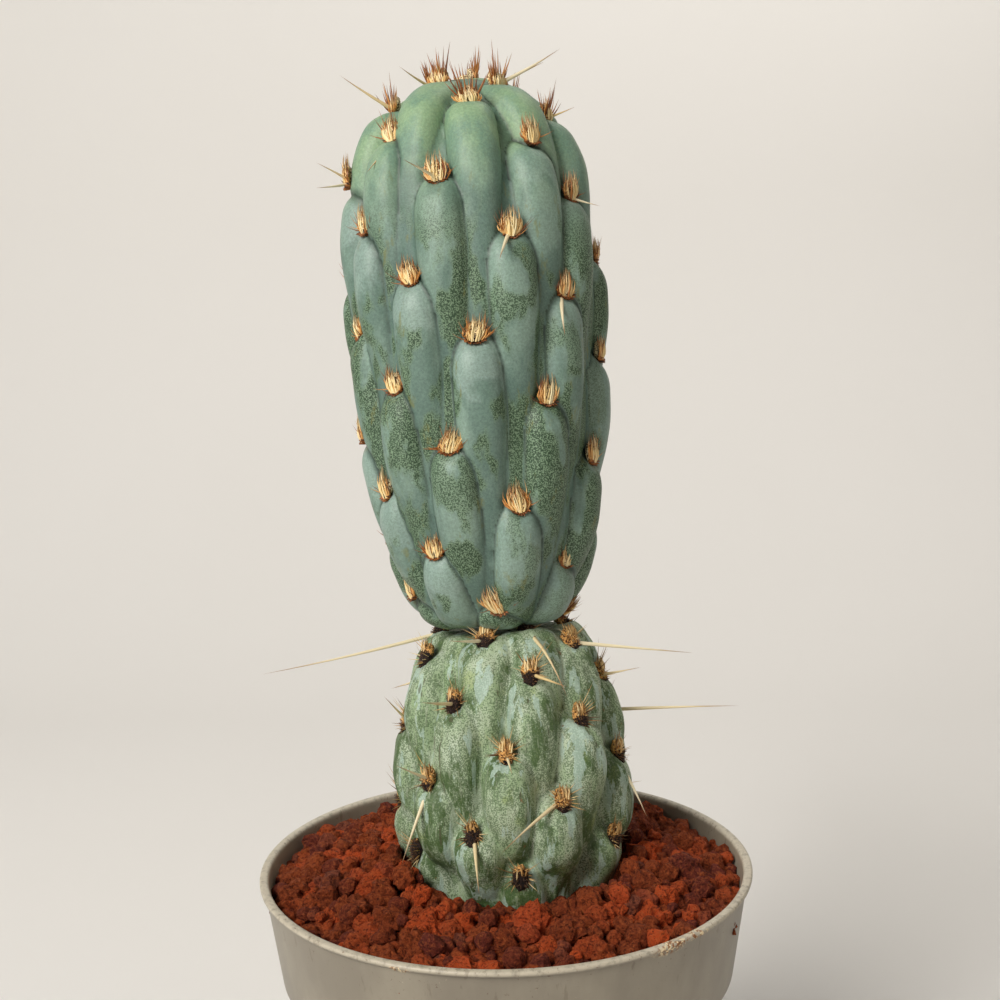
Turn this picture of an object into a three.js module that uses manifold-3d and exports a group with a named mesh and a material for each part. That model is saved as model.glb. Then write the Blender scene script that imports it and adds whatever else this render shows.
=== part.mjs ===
// Potted Tephrocactus miquelii: an old stem segment rooted in a round plastic nursery pot, and
// a younger, taller segment that grew from its top. Long tubercles cover both segments, and
// each tubercle carries an areole at its upper end, with a cushion of wool, a fan of bristles
// and some long spines. Red lava grit covers the growing mix in the pot.
// Lengths are in millimetres and +Z is up. The origin is the centre of the pot's base, on the
// ground. The front of the plant faces -Y: angles round a stem count from there towards +X.

import * as THREE from 'three';
import { mergeVertices } from 'three/addons/utils/BufferGeometryUtils.js';
import Module from 'manifold-3d';

const wasm = await Module();
wasm.setup();

const DEGREE = Math.PI / 180;
const CLEARANCE = 0.3; // between pieces that touch in the real plant

// Pot: a round lip over a collar, a short conical step and a tapered body.
const POT_HEIGHT = 90;
const LIP_RADIUS = 52.5;
const LIP_INNER_RADIUS = 50.8;
const LIP_HEIGHT = 1.1;
const COLLAR_TOP_RADIUS = 51.5;
const COLLAR_RADIUS = 48.4;
const COLLAR_HEIGHT = 22;
const STEP_HEIGHT = 3.5;
const BODY_RADIUS = 45.8;
const BASE_RADIUS = 38.4;
const WALL = 1.1;
const FLOOR = 1.8;
const EDGE = 0.5; // bevel of the lip and the foot
const POT_SIDES = 34; // of the pot and of what fills it

// The underside has a raised ring between the foot and a flat middle, with holes to drain.
const CHANNEL_INNER_RADIUS = 14;
const CHANNEL_OUTER_RADIUS = 30;
const CHANNEL_RISE = 1.5;
const CHANNEL_SLOPE = 1.2;
const DRAIN_HOLES = 8;
const DRAIN_HOLE_RADIUS = 3.2;
const DRAIN_HOLE_SIDES = 8;

// Growing mix below, and a dressing of lava grit that is heaped up to the stem.
const MIX_TOP = 64;
const GRIT_AT_WALL = 88.3;
const GRIT_AT_STEM = 90.8;
const GRIT_HEAP_RADIUS = 27;
const GRAIN_COUNT = 105;
const GRAIN_RADIUS = [3, 4];
const GRAIN_STRETCH = [0.75, 1.15];
const GRAIN_LIFT = [-1.6, 0.2];
const GRAIN_INNER_RADIUS = 24;
const GRAIN_OUTER_RADIUS = 47.5;
const STEM_HOLE_CLEARANCE = 0.7;

// Where the old segment crosses the plane of the pot's lip, and how far it leans from there:
// to the back and to the right.
const OLD_STEM_PLACE = [2.6, 0, POT_HEIGHT];
const OLD_STEM_LEAN = [7, -2.1];
// The joint on the old segment's flat top, and how far the young segment leans against it.
const JOINT_PLACE = [-1.4, -2.4];
const JOINT_LEAN = [-2.3, -0.5];
const JOINT_CLEARANCE = 0.5;

// A segment's outline is its radius and height along its own axis, from the base to the crown.
// Its areoles follow one spiral down from the crown: each is turned by the divergence and lies
// a step further along the outline. An arc is a length along the outline from the crown.
// A spine is the number of its areole in the spiral and the way from there to its tip: to the
// right, to the back and up.
const OLD_SEGMENT = {
  outline: [
    [3, -58], [7.5, -44], [10.5, -32], [15, -21], [21, -11.5], [24.3, -3], [25.7, 4],
    [26.2, 11], [26, 20], [25, 28], [23.4, 34.6], [21.3, 40.4], [19, 45.8], [15.6, 49.8],
    [11, 50.9],
  ],
  carriesJoint: true, // on its top
  rings: 26,
  sides: 42,
  areoles: 34,
  firstAngle: 22.6,
  divergence: 78.48,
  crownArc: 11,
  firstArc: 4.1,
  arcStep: 1.97,
  arcGrowth: 0,
  slant: 2.5, // how much lower the right side of a whorl lies than its middle
  nudges: {},
  seatDepth: 2.4,
  rise: 6,
  shoulder: 9,
  tailDepth: 5,
  tailLength: 12,
  roundness: 0.045,
  squareness: 0.0013,
  grooveDepth: 5.5,
  plainCrown: [6, 42],
  plainBase: [66, 82],
  lastTuftArc: 65,
  cushion: [2.8, 3, 2],
  bristles: 3,
  bristleLength: [4, 6.5],
  fanLean: 0.35,
  backSpineChance: 0.6,
  spines: [
    [3, -39, -5, -7],
    [5, 26, 2, -4.5],
    [0, 6, -21, -9],
    [4, -7, -10, 1],
    [9, 7, -10, -2],
    [10, 8.5, -5, 1.5],
    [13, -6, -10, 2],
    [15, 29, -7, 0],
    [17, -4, -7, 7],
    [18, 1, -8, -2.5],
    [19, 5, -6.5, -13],
    [22, -6, -9.5, -15],
    [22, -6, -8, 5],
    [22, -1, -11, 12],
    [23, -12.5, -14, -6],
    [27, 1, -11, -9],
  ],
};
const YOUNG_SEGMENT = {
  outline: [
    [5, 0], [9, 0.6], [15, 2.7], [19.7, 8.5], [23.1, 17.4], [25.4, 27.8], [26.9, 39],
    [27.5, 54], [28.3, 68], [28, 79.5], [26.5, 90.5], [24, 98.6], [19.8, 106.4],
    [14, 111], [7, 114.5], [0, 115.5],
  ],
  carriesJoint: false,
  rings: 36,
  sides: 54,
  areoles: 56,
  firstAngle: 94.5,
  divergence: 78.35,
  crownArc: 0,
  firstArc: 2.7,
  arcStep: 2.08,
  arcGrowth: 0.0045,
  slant: 1.5,
  nudges: { 4: -3, 9: -8 }, // degrees that an areole lies off the spiral, by its number
  seatDepth: 2.6,
  rise: 7,
  shoulder: 11,
  tailDepth: 2.6,
  tailLength: 14,
  roundness: 0.04,
  squareness: 0.0014,
  grooveDepth: 4.4,
  plainCrown: [4, 26],
  plainBase: [126, 140],
  lastTuftArc: 134,
  cushion: [2.9, 3.2, 2.3],
  bristles: 3,
  bristleLength: [4.5, 7.5],
  fanLean: 0.55,
  backSpineChance: 0,
  spines: [
    [2, -6.5, -7, 3.5],
    [4, 14, 5.5, 8],
    [7, -10.5, -5, 7],
    [12, -5.5, -6, -8],
    [17, -6, -9, 2],
    [27, -1, -11, -9.5],
  ],
};
const SLANT_ARC = 30; // the whorls slant fully from here down
// A tubercle's tail falls away softly, then sinks slowly from the first of these lengths below
// its areole, and steeply from the second.
const TAIL_DRIFT_START = 20;
const TAIL_DRIFT = 0.03;
const TAIL_END = 55;

// The youngest areoles are smaller, and those next to the joint are pressed flat.
const CROWN_TUFT_SCALE = 0.55;
const FULL_TUFT_ARC = 20;
const JOINT_ARC = 19;
const JOINT_TUFT_SCALE = 0.6;
const CROWN_RELIEF = 0.25; // share of the tubercles' height that is left at the crown

const SPIKE_SIDES = 3;
const CUSHION_SIDES = 5;
const BRISTLE_RADIUS = 0.42;
const SPINE_RADIUS = 0.6;
const ROOT_DEPTH = 0.9; // how deep the root of a bristle or spine lies in its areole
const CUSHION_LIFT = 0.5;
const FAN_WIDTH = 180;
const FAN_JITTER = [-12, 12];
const FAN_TILT = [25, 60]; // degrees between a bristle and the areole's face

// Spines of the areoles at the back, which are placed at random.
const BACK_SPINE_LENGTH = [9, 22];
const BACK_SPINE_DROP = [-0.7, 0];
const BACK_SPINE_SWAY = [-0.4, 0.4];
const BACK_FACING = 0.35;
const LAST_SPINE_ARC = 56;

const YOUNG_SEED = 11;
const OLD_SEED = 23;
const GRIT_SEED = 37;

// Seeded random numbers, so that every build is the same.
function makeRandom(seed) {
  let state = seed;
  return () => {
    state = (state + 0x6d2b79f5) | 0;
    let t = Math.imul(state ^ (state >>> 15), 1 | state);
    t = (t + Math.imul(t ^ (t >>> 7), 61 | t)) ^ t;
    return ((t ^ (t >>> 14)) >>> 0) / 4294967296;
  };
}

const between = (random, [low, high]) => low + (high - low) * random();
const wrapAngle = (angle) => Math.atan2(Math.sin(angle), Math.cos(angle));

// A closed geometry as a solid. Triangles that shrink to a line at a pole are left out.
function toSolid(geometry) {
  const bare = geometry.clone();
  bare.deleteAttribute('normal');
  bare.deleteAttribute('uv');
  const merged = mergeVertices(bare, 1e-4);
  const index = merged.index.array;
  const triVerts = [];
  for (let i = 0; i < index.length; i += 3) {
    const [a, b, c] = [index[i], index[i + 1], index[i + 2]];
    if (a !== b && b !== c && c !== a) triVerts.push(a, b, c);
  }
  return new wasm.Manifold(
    new wasm.Mesh({
      numProp: 3,
      vertProperties: new Float32Array(merged.attributes.position.array),
      triVerts: new Uint32Array(triVerts),
    }),
  );
}

// A solid as a geometry. Only its outer skin is kept: a pocket that the joined pieces seal is
// filled, and a loose scrap is dropped.
function toGeometry(solid) {
  const skin = solid.decompose().reduce((a, b) => (b.volume() > a.volume() ? b : a));
  const { vertProperties, triVerts } = skin.getMesh();
  const geometry = new THREE.BufferGeometry();
  geometry.setAttribute('position', new THREE.BufferAttribute(vertProperties, 3));
  geometry.setIndex(new THREE.BufferAttribute(triVerts, 1));
  return geometry;
}

// A profile of radius and height turned round Z. It runs upwards on the outside, from the axis
// to the axis. Its seam lies at the front, and the angle grows towards +X.
function revolve(profile, sides) {
  const points = profile.map(([radius, height]) => new THREE.Vector2(radius, height));
  return new THREE.LatheGeometry(points, sides).rotateX(Math.PI / 2);
}

// The corners of the pot's wall, from its foot up to the lip: outer radius and height.
const POT_WALL = [
  [BASE_RADIUS, 0],
  [BODY_RADIUS, POT_HEIGHT - COLLAR_HEIGHT - STEP_HEIGHT],
  [COLLAR_RADIUS, POT_HEIGHT - COLLAR_HEIGHT],
  [COLLAR_TOP_RADIUS, POT_HEIGHT - LIP_HEIGHT],
];

function potInnerRadius(height) {
  const above = POT_WALL.findIndex(([, z]) => z > height);
  const upper = above > 0 ? above : POT_WALL.length - 1;
  const [[r0, z0], [r1, z1]] = [POT_WALL[upper - 1], POT_WALL[upper]];
  return THREE.MathUtils.mapLinear(height, z0, z1, r0, r1) - WALL;
}

function makePot() {
  const underside = [
    [0, 0],
    [CHANNEL_INNER_RADIUS - CHANNEL_SLOPE, 0],
    [CHANNEL_INNER_RADIUS, CHANNEL_RISE],
    [CHANNEL_OUTER_RADIUS, CHANNEL_RISE],
    [CHANNEL_OUTER_RADIUS + CHANNEL_SLOPE, 0],
    [BASE_RADIUS - EDGE, 0],
    [BASE_RADIUS, EDGE],
  ];
  const lip = [
    [LIP_RADIUS, POT_HEIGHT - LIP_HEIGHT],
    [LIP_RADIUS, POT_HEIGHT - EDGE],
    [LIP_RADIUS - EDGE, POT_HEIGHT],
    [LIP_INNER_RADIUS, POT_HEIGHT],
  ];
  const inside = POT_WALL.slice(1).reverse()
    .map(([, height]) => [potInnerRadius(height), height]);
  const floor = [
    [potInnerRadius(FLOOR), FLOOR],
    [CHANNEL_OUTER_RADIUS + CHANNEL_SLOPE, FLOOR],
    [CHANNEL_OUTER_RADIUS, FLOOR + CHANNEL_RISE],
    [CHANNEL_INNER_RADIUS, FLOOR + CHANNEL_RISE],
    [CHANNEL_INNER_RADIUS - CHANNEL_SLOPE, FLOOR],
    [0, FLOOR],
  ];
  const profile = [...underside, ...POT_WALL.slice(1), ...lip, ...inside, ...floor];
  let pot = toSolid(revolve(profile, POT_SIDES));
  const holePlace = (CHANNEL_INNER_RADIUS + CHANNEL_OUTER_RADIUS) / 2;
  const holeDepth = 4 * FLOOR;
  for (let i = 0; i < DRAIN_HOLES; i += 1) {
    const angle = ((i + 0.5) / DRAIN_HOLES) * 2 * Math.PI;
    const hole = new THREE.CylinderGeometry(
      DRAIN_HOLE_RADIUS, DRAIN_HOLE_RADIUS, holeDepth, DRAIN_HOLE_SIDES,
    );
    hole.rotateX(Math.PI / 2);
    hole.translate(Math.cos(angle) * holePlace, Math.sin(angle) * holePlace, FLOOR);
    pot = pot.subtract(toSolid(hole));
  }
  return toGeometry(pot);
}

// The rings of a segment, from the crown down: radius, height, arc from the crown and the
// outward normal of each. The first and the last close the segment on its axis.
function makeRings(segment) {
  const outline = segment.outline.map(([r, z]) => new THREE.Vector2(r, z)).reverse();
  const points = new THREE.SplineCurve(outline).getSpacedPoints(segment.rings);
  if (points[0].x > 0) points.unshift(new THREE.Vector2(0, points[0].y));
  points.push(new THREE.Vector2(0, points[points.length - 1].y));
  let arc = 0;
  return points.map((point, i) => {
    const before = points[Math.max(i - 1, 0)];
    const after = points[Math.min(i + 1, points.length - 1)];
    arc += point.distanceTo(before);
    const normal = new THREE.Vector2(before.y - after.y, after.x - before.x).normalize();
    if (point.x === 0) normal.set(0, i === 0 ? 1 : -1);
    return { radius: point.x, height: point.y, arc, normal };
  });
}

// The place on a segment's outline at an arc from the crown.
function onOutline(rings, arc) {
  const after = Math.max(1, rings.findIndex((ring) => ring.arc >= arc));
  const [a, b] = [rings[after - 1], rings[after]];
  const share = (arc - a.arc) / (b.arc - a.arc);
  return {
    radius: THREE.MathUtils.lerp(a.radius, b.radius, share),
    height: THREE.MathUtils.lerp(a.height, b.height, share),
    normal: a.normal.clone().lerp(b.normal, share).normalize(),
  };
}

// The areoles of a segment: angle and arc of each along the spiral.
function makeSpiral(segment) {
  return Array.from({ length: segment.areoles }, (_, i) => {
    const turn = segment.firstAngle + segment.divergence * i + (segment.nudges[i] ?? 0);
    const angle = turn * DEGREE;
    const along = segment.firstArc + segment.arcStep * i + segment.arcGrowth * i * i;
    const slant = segment.slant * Math.sin(angle) * Math.min(1, along / SLANT_ARC);
    return { angle, arc: Math.hypot(segment.crownArc, along) + slant };
  });
}

// Height of a tubercle's crest against the outline, at a distance below its areole.
function crest(segment, below) {
  const head = segment.seatDepth * Math.min(below / segment.rise - 1, 0) ** 2;
  const slide = Math.max(below - segment.shoulder, 0) / segment.tailLength;
  const tail = segment.tailDepth * (1 - Math.exp(-slide * slide));
  const drift = TAIL_DRIFT * Math.max(below - TAIL_DRIFT_START, 0);
  return -head - tail - drift - Math.max(below - TAIL_END, 0);
}

// Height of the surface against the outline: the highest of the tubercles that pass there.
function relief(segment, areoles, angle, arc, radius) {
  let highest = -segment.grooveDepth;
  for (const areole of areoles) {
    const aside = wrapAngle(angle - areole.angle) * radius;
    const flank = segment.roundness * aside ** 2 + segment.squareness * aside ** 4;
    highest = Math.max(highest, crest(segment, arc - areole.arc) - flank);
  }
  const crown = THREE.MathUtils.smoothstep(arc, ...segment.plainCrown);
  const base = 1 - THREE.MathUtils.smoothstep(arc, ...segment.plainBase);
  return highest * THREE.MathUtils.lerp(CROWN_RELIEF, 1, crown) * base;
}

// The bare body of a segment: its outline turned round the axis, with the tubercles raised.
function makeBody(segment, rings, areoles) {
  const upwards = [...rings].reverse();
  const geometry = revolve(upwards.map((ring) => [ring.radius, ring.height]), segment.sides);
  const position = geometry.getAttribute('position');
  for (let i = 0; i <= segment.sides; i += 1) {
    const angle = ((i % segment.sides) / segment.sides) * 2 * Math.PI;
    upwards.forEach((ring, j) => {
      const height = relief(segment, areoles, angle, ring.arc, ring.radius);
      const radius = ring.radius + ring.normal.x * height;
      const z = ring.height + ring.normal.y * height;
      const vertex = i * upwards.length + j;
      position.setXYZ(vertex, radius * Math.sin(angle), -radius * Math.cos(angle), z);
    });
  }
  return toSolid(geometry);
}

// The seat of an areole: its place on the body, and the directions aside, up and out of it.
function makeSeat(segment, rings, areoles, { angle, arc }) {
  const { radius, height, normal } = onOutline(rings, arc);
  const depth = relief(segment, areoles, angle, arc, radius);
  const out = new THREE.Vector3(Math.sin(angle), -Math.cos(angle), 0);
  const square = out.clone().multiplyScalar(normal.x).setZ(normal.y);
  const place = out.clone().multiplyScalar(radius).setZ(height).addScaledVector(square, depth);
  const along = out.clone().multiplyScalar(-normal.y).setZ(normal.x);
  const face = square.clone().addScaledVector(along, segment.fanLean).normalize();
  const side = new THREE.Vector3().crossVectors(along, face).normalize();
  const up = new THREE.Vector3().crossVectors(face, side);
  const root = place.clone().addScaledVector(face, -ROOT_DEPTH);
  return { place, root, out, side, up, face, arc };
}

// A bristle or spine: a slender cone from its root to its tip.
function makeSpike(root, tip, radius) {
  const way = tip.clone().sub(root);
  const cone = new THREE.ConeGeometry(radius, way.length(), SPIKE_SIDES);
  cone.translate(0, way.length() / 2, 0);
  const turn = new THREE.Quaternion();
  turn.setFromUnitVectors(new THREE.Vector3(0, 1, 0), way.normalize());
  return toSolid(cone.applyQuaternion(turn).translate(root.x, root.y, root.z));
}

// The wool cushion of an areole.
function makeCushion(seat, size) {
  const frame = new THREE.Matrix4().makeBasis(seat.side, seat.up, seat.face);
  const cushion = new THREE.SphereGeometry(1, CUSHION_SIDES, 2).rotateX(Math.PI / 2);
  cushion.scale(...size);
  const middle = seat.place.clone().addScaledVector(seat.face, CUSHION_LIFT);
  return toSolid(cushion.applyMatrix4(frame.setPosition(middle)));
}

// The bristles of an areole: a fan from one side over the top to the other.
function makeBristles(segment, seat, scale, keepLow, random) {
  return Array.from({ length: segment.bristles }, (_, i) => {
    const share = i / (segment.bristles - 1) - 0.5;
    const turn = (FAN_WIDTH * share + between(random, FAN_JITTER)) * DEGREE;
    const tilt = between(random, FAN_TILT) * DEGREE;
    const way = seat.face.clone().multiplyScalar(Math.cos(tilt));
    way.addScaledVector(seat.up, Math.cos(turn) * Math.sin(tilt));
    way.addScaledVector(seat.side, Math.sin(turn) * Math.sin(tilt));
    if (keepLow) way.setZ(Math.min(way.z, 0)).normalize();
    const length = ROOT_DEPTH + between(random, segment.bristleLength) * scale;
    return makeSpike(seat.root, seat.root.clone().addScaledVector(way, length), BRISTLE_RADIUS);
  });
}

function makeListedSpines(segment, seats) {
  return segment.spines.map(([number, ...way]) => {
    const { place, root } = seats[number];
    return makeSpike(root, place.clone().add(new THREE.Vector3(...way)), SPINE_RADIUS);
  });
}

// Spines of the areoles at the back: out and down, at random.
function makeBackSpines(segment, seats, random) {
  const atBack = seats.filter(({ out, arc }) => (
    out.y > BACK_FACING && arc > JOINT_ARC && arc < LAST_SPINE_ARC
  ));
  return atBack.filter(() => random() < segment.backSpineChance).map(({ place, root, out, side }) => {
    const way = out.clone().setZ(between(random, BACK_SPINE_DROP));
    way.addScaledVector(side, between(random, BACK_SPINE_SWAY)).normalize();
    const tip = place.clone().addScaledVector(way, between(random, BACK_SPINE_LENGTH));
    return makeSpike(root, tip, SPINE_RADIUS);
  });
}

// A whole segment: its body, with the cushions, bristles and spines that grow from it.
function makeSegment(segment, seed) {
  const random = makeRandom(seed);
  const rings = makeRings(segment);
  const areoles = makeSpiral(segment);
  const seats = areoles.map((areole) => makeSeat(segment, rings, areoles, areole));
  const grown = [];
  for (const seat of seats.filter(({ arc }) => arc < segment.lastTuftArc)) {
    const keepLow = segment.carriesJoint && seat.arc < JOINT_ARC;
    const age = THREE.MathUtils.smoothstep(seat.arc, 0, FULL_TUFT_ARC);
    const scale = keepLow ? JOINT_TUFT_SCALE : THREE.MathUtils.lerp(CROWN_TUFT_SCALE, 1, age);
    grown.push(makeCushion(seat, segment.cushion.map((size) => size * scale)));
    grown.push(...makeBristles(segment, seat, scale, keepLow, random));
  }
  grown.push(...makeListedSpines(segment, seats));
  grown.push(...makeBackSpines(segment, seats, random));
  const body = makeBody(segment, rings, areoles);
  return toGeometry(grown.reduce((whole, piece) => whole.add(piece), body));
}

// The plain hole that the old segment stands in, up to well above the grit.
function makeStemHole(oldStem) {
  const top = 2 * GRAIN_RADIUS[1];
  const sides = OLD_SEGMENT.outline
    .filter(([, height]) => height < 0)
    .map(([radius, height]) => [radius + STEM_HOLE_CLEARANCE, height]);
  const widest = Math.max(...OLD_SEGMENT.outline.map(([radius]) => radius));
  const bottom = sides[0][1] - STEM_HOLE_CLEARANCE;
  const profile = [
    [0, bottom],
    [sides[0][0], bottom],
    ...sides.slice(1),
    [widest + STEM_HOLE_CLEARANCE, 0],
    [widest + STEM_HOLE_CLEARANCE, top],
    [0, top],
  ];
  return toSolid(revolve(profile, POT_SIDES).applyMatrix4(oldStem.matrix));
}

// What fills the pot between two heights, with clearance to its wall. The roof is the rest of
// the profile, from the wall to the axis.
function makeFilling(bottom, top, roof) {
  const bends = POT_WALL.map(([, height]) => height);
  const wall = [bottom, ...bends.filter((height) => height > bottom && height < top), top]
    .map((height) => [potInnerRadius(height) - CLEARANCE, height]);
  return toSolid(revolve([[0, bottom], ...wall, ...roof], POT_SIDES));
}

function makeGrowingMix(stemHole) {
  const bottom = FLOOR + CHANNEL_RISE + CLEARANCE;
  return toGeometry(makeFilling(bottom, MIX_TOP, [[0, MIX_TOP]]).subtract(stemHole));
}

// Height of the grit's surface at a distance from the pot's axis.
function gritHeight(radius) {
  const share = (radius - GRIT_HEAP_RADIUS) / (GRAIN_OUTER_RADIUS - GRIT_HEAP_RADIUS);
  return THREE.MathUtils.lerp(GRIT_AT_STEM, GRIT_AT_WALL, THREE.MathUtils.clamp(share, 0, 1));
}

// A grain of grit: an eight-sided chip that is stretched and turned at random.
function makeGrain(place, random) {
  const size = between(random, GRAIN_RADIUS);
  const grain = new THREE.OctahedronGeometry(size);
  grain.scale(...[0, 0, 0].map(() => between(random, GRAIN_STRETCH)));
  const [x, y, z] = [random(), random(), random()].map((share) => share * 2 * Math.PI);
  return toSolid(grain.rotateX(x).rotateY(y).rotateZ(z).translate(...place));
}

// The dressing of lava grit: a bed covered with grains, spread evenly like sunflower seeds.
function makeGrit(stemHole) {
  const random = makeRandom(GRIT_SEED);
  const goldenAngle = Math.PI * (3 - Math.sqrt(5));
  const bottom = MIX_TOP + CLEARANCE;
  const roof = [[GRIT_HEAP_RADIUS, GRIT_AT_STEM], [0, GRIT_AT_STEM]];
  const [inner, outer] = [GRAIN_INNER_RADIUS ** 2, GRAIN_OUTER_RADIUS ** 2];
  let grit = makeFilling(bottom, GRIT_AT_WALL, roof);
  for (let i = 0; i < GRAIN_COUNT; i += 1) {
    const radius = Math.sqrt(THREE.MathUtils.lerp(inner, outer, (i + 0.5) / GRAIN_COUNT));
    const angle = i * goldenAngle;
    const height = gritHeight(radius) + between(random, GRAIN_LIFT);
    const place = [Math.cos(angle) * radius, Math.sin(angle) * radius, height];
    grit = grit.add(makeGrain(place, random));
  }
  const ceiling = POT_HEIGHT + 2 * GRAIN_RADIUS[1];
  const space = makeFilling(bottom, ceiling, [[0, ceiling]]);
  return toGeometry(grit.intersect(space).subtract(stemHole));
}

function makeMesh(name, geometry, color, roughness) {
  const material = new THREE.MeshStandardMaterial({ color, roughness, metalness: 0 });
  const mesh = new THREE.Mesh(geometry, material);
  mesh.name = name;
  return mesh;
}

// The old stem stands in the pot, and the young stem stands on the old one's top.
const oldStem = new THREE.Group();
oldStem.position.set(...OLD_STEM_PLACE);
oldStem.rotation.set(-OLD_STEM_LEAN[0] * DEGREE, OLD_STEM_LEAN[1] * DEGREE, 0);
oldStem.updateMatrix();
oldStem.add(makeMesh('stem_lower', makeSegment(OLD_SEGMENT, OLD_SEED), 0x7f8e72, 0.6));

const oldTop = OLD_SEGMENT.outline[OLD_SEGMENT.outline.length - 1][1];
const youngStem = new THREE.Group();
youngStem.position.set(...JOINT_PLACE, oldTop + JOINT_CLEARANCE);
youngStem.rotation.set(-JOINT_LEAN[0] * DEGREE, JOINT_LEAN[1] * DEGREE, 0);
youngStem.add(makeMesh('stem_upper', makeSegment(YOUNG_SEGMENT, YOUNG_SEED), 0x6c8a74, 0.5));
oldStem.add(youngStem);

const stemHole = makeStemHole(oldStem);
const plant = new THREE.Group();
plant.add(makeMesh('pot', makePot(), 0xa8a38a, 0.5));
plant.add(makeMesh('growing_mix', makeGrowingMix(stemHole), 0x3a2b20, 0.95));
plant.add(makeMesh('lava_grit', makeGrit(stemHole), 0x7c2f18, 0.95));
plant.add(oldStem);

export default plant;
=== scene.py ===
# %% [markdown]
# # A potted cactus with two stem segments
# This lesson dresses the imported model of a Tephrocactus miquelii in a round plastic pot. The
# frame gives every place and size in metres. The plant, the grit and the pot get finer meshes
# that stand exactly where their plain solids do, and each finish is built from nodes.

import math

import bmesh
import bpy
import numpy as np
from mathutils import Matrix, Vector, noise


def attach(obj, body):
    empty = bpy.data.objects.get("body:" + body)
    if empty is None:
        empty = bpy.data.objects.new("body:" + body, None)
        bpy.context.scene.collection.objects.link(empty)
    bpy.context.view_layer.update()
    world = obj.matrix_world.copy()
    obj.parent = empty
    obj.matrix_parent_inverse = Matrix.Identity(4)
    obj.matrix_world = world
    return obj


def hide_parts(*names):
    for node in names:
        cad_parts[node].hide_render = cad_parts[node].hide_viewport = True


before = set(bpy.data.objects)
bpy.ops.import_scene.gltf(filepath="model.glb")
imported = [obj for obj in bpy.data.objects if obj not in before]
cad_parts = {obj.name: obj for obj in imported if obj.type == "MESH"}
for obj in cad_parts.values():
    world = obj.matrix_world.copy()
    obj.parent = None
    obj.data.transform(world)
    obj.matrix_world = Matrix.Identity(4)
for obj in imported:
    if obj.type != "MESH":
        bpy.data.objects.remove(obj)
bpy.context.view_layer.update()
MM = 0.001
scene = bpy.context.scene
print("CAD nodes:", sorted(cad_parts))

# %% [markdown]
# ## Helpers
# A mesh is modelled in millimetres and scaled to metres when it becomes a piece. Every piece
# sits at the origin, so a pattern on Object coordinates has the same scale everywhere. Large
# meshes are read and written as whole arrays, which is much faster than corner by corner.

# %% Turn a mesh into a piece
def make_piece(name, mesh, material, slot, replaced, place=Matrix(), smooth=True):
    """Makes a mesh in millimetres a piece at its place in the frame. Its faces shade as one
    smooth skin, or flat if it is a broken stone."""
    mesh.name = name
    mesh.transform(Matrix.Scale(MM, 4) @ place)
    if smooth:
        mesh.shade_smooth()
    mesh.materials.clear()
    mesh.materials.append(material)
    piece = bpy.data.objects.new(name, mesh)
    scene.collection.objects.link(piece)
    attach(piece, "root")
    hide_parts(replaced)
    triangles = sum(len(face.vertices) - 2 for face in mesh.polygons)
    print(f"{name}: {triangles} triangles")


def to_mesh(bm):
    """A finished bmesh as a mesh, with its faces outwards."""
    bmesh.ops.recalc_face_normals(bm, faces=bm.faces)
    mesh = bpy.data.meshes.new("shape")
    bm.to_mesh(mesh)
    bm.free()
    return mesh


def spin_round(bm, geometry, steps):
    """Turns an outline of corners and edges once round the Z axis, into a closed skin."""
    bmesh.ops.spin(bm, geom=geometry, cent=(0, 0, 0), axis=(0, 0, 1), angle=2 * math.pi,
                   steps=steps, use_merge=True)
    bmesh.ops.remove_doubles(bm, verts=bm.verts, dist=0.001)


print("pieces are scaled by", MM)

# %% Corners, attributes and noise
def get_points(mesh):
    """The mesh's corners as rows of x, y and z."""
    points = np.zeros(len(mesh.vertices) * 3)
    mesh.vertices.foreach_get("co", points)
    return points.reshape(-1, 3)


def set_points(mesh, points):
    """Moves the mesh's corners to those rows of x, y and z."""
    mesh.vertices.foreach_set("co", np.asarray(points, np.float32).ravel())
    mesh.update()


def set_attribute(mesh, name, values):
    """Stores one number for each corner, which a material can read by its name."""
    attribute = mesh.attributes.new(name, "FLOAT", "POINT")
    attribute.data.foreach_set("value", np.asarray(values, np.float32))


def smoothstep(low, high, values):
    """0 up to low, 1 from high on, and an eased rise between them."""
    share = np.clip((values - low) / (high - low), 0, 1)
    return share * share * (3 - 2 * share)


def noise_at(points, size, seed=0):
    """Smooth random numbers from -1 to 1, with lumps of that size."""
    shift = Vector((seed * 7.3, seed * 3.1, seed * 5.7))
    scale = 1 / np.broadcast_to(size, 3)
    return np.array([noise.noise(Vector(p) + shift) for p in points * scale])


print("an eased step:", smoothstep(0, 1, np.linspace(0, 1, 5)))

# %% [markdown]
# Colours are written as the sRGB hex values that a picture shows. Shaders work in linear light,
# so one function turns one into the other. One more function adds any node, sets it up, fills
# its inputs and gives its output, so that a material reads as a list of steps. Two of these
# steps come in groups that every natural surface here needs: patches of a size in millimetres,
# and a coat of colour where there is a patch.

# %% Colours and nodes
SMOOTH = {"interpolation_type": "SMOOTHSTEP"}  # an eased rise or fall between two values
COLOURS = {"data_type": "RGBA", "clamp_factor": True}
TIMES, PLUS, MINUS = ({"operation": kind} for kind in ("MULTIPLY", "ADD", "SUBTRACT"))
TIMES_PLUS = {"operation": "MULTIPLY_ADD"}


def colour(code):
    """An sRGB hex colour such as '#a0b0c0' as linear red, green, blue and alpha."""
    parts = [int(code[i : i + 2], 16) / 255 for i in (1, 3, 5)]
    return [c / 12.92 if c <= 0.04045 else ((c + 0.055) / 1.055) ** 2.4 for c in parts] + [1]


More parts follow.
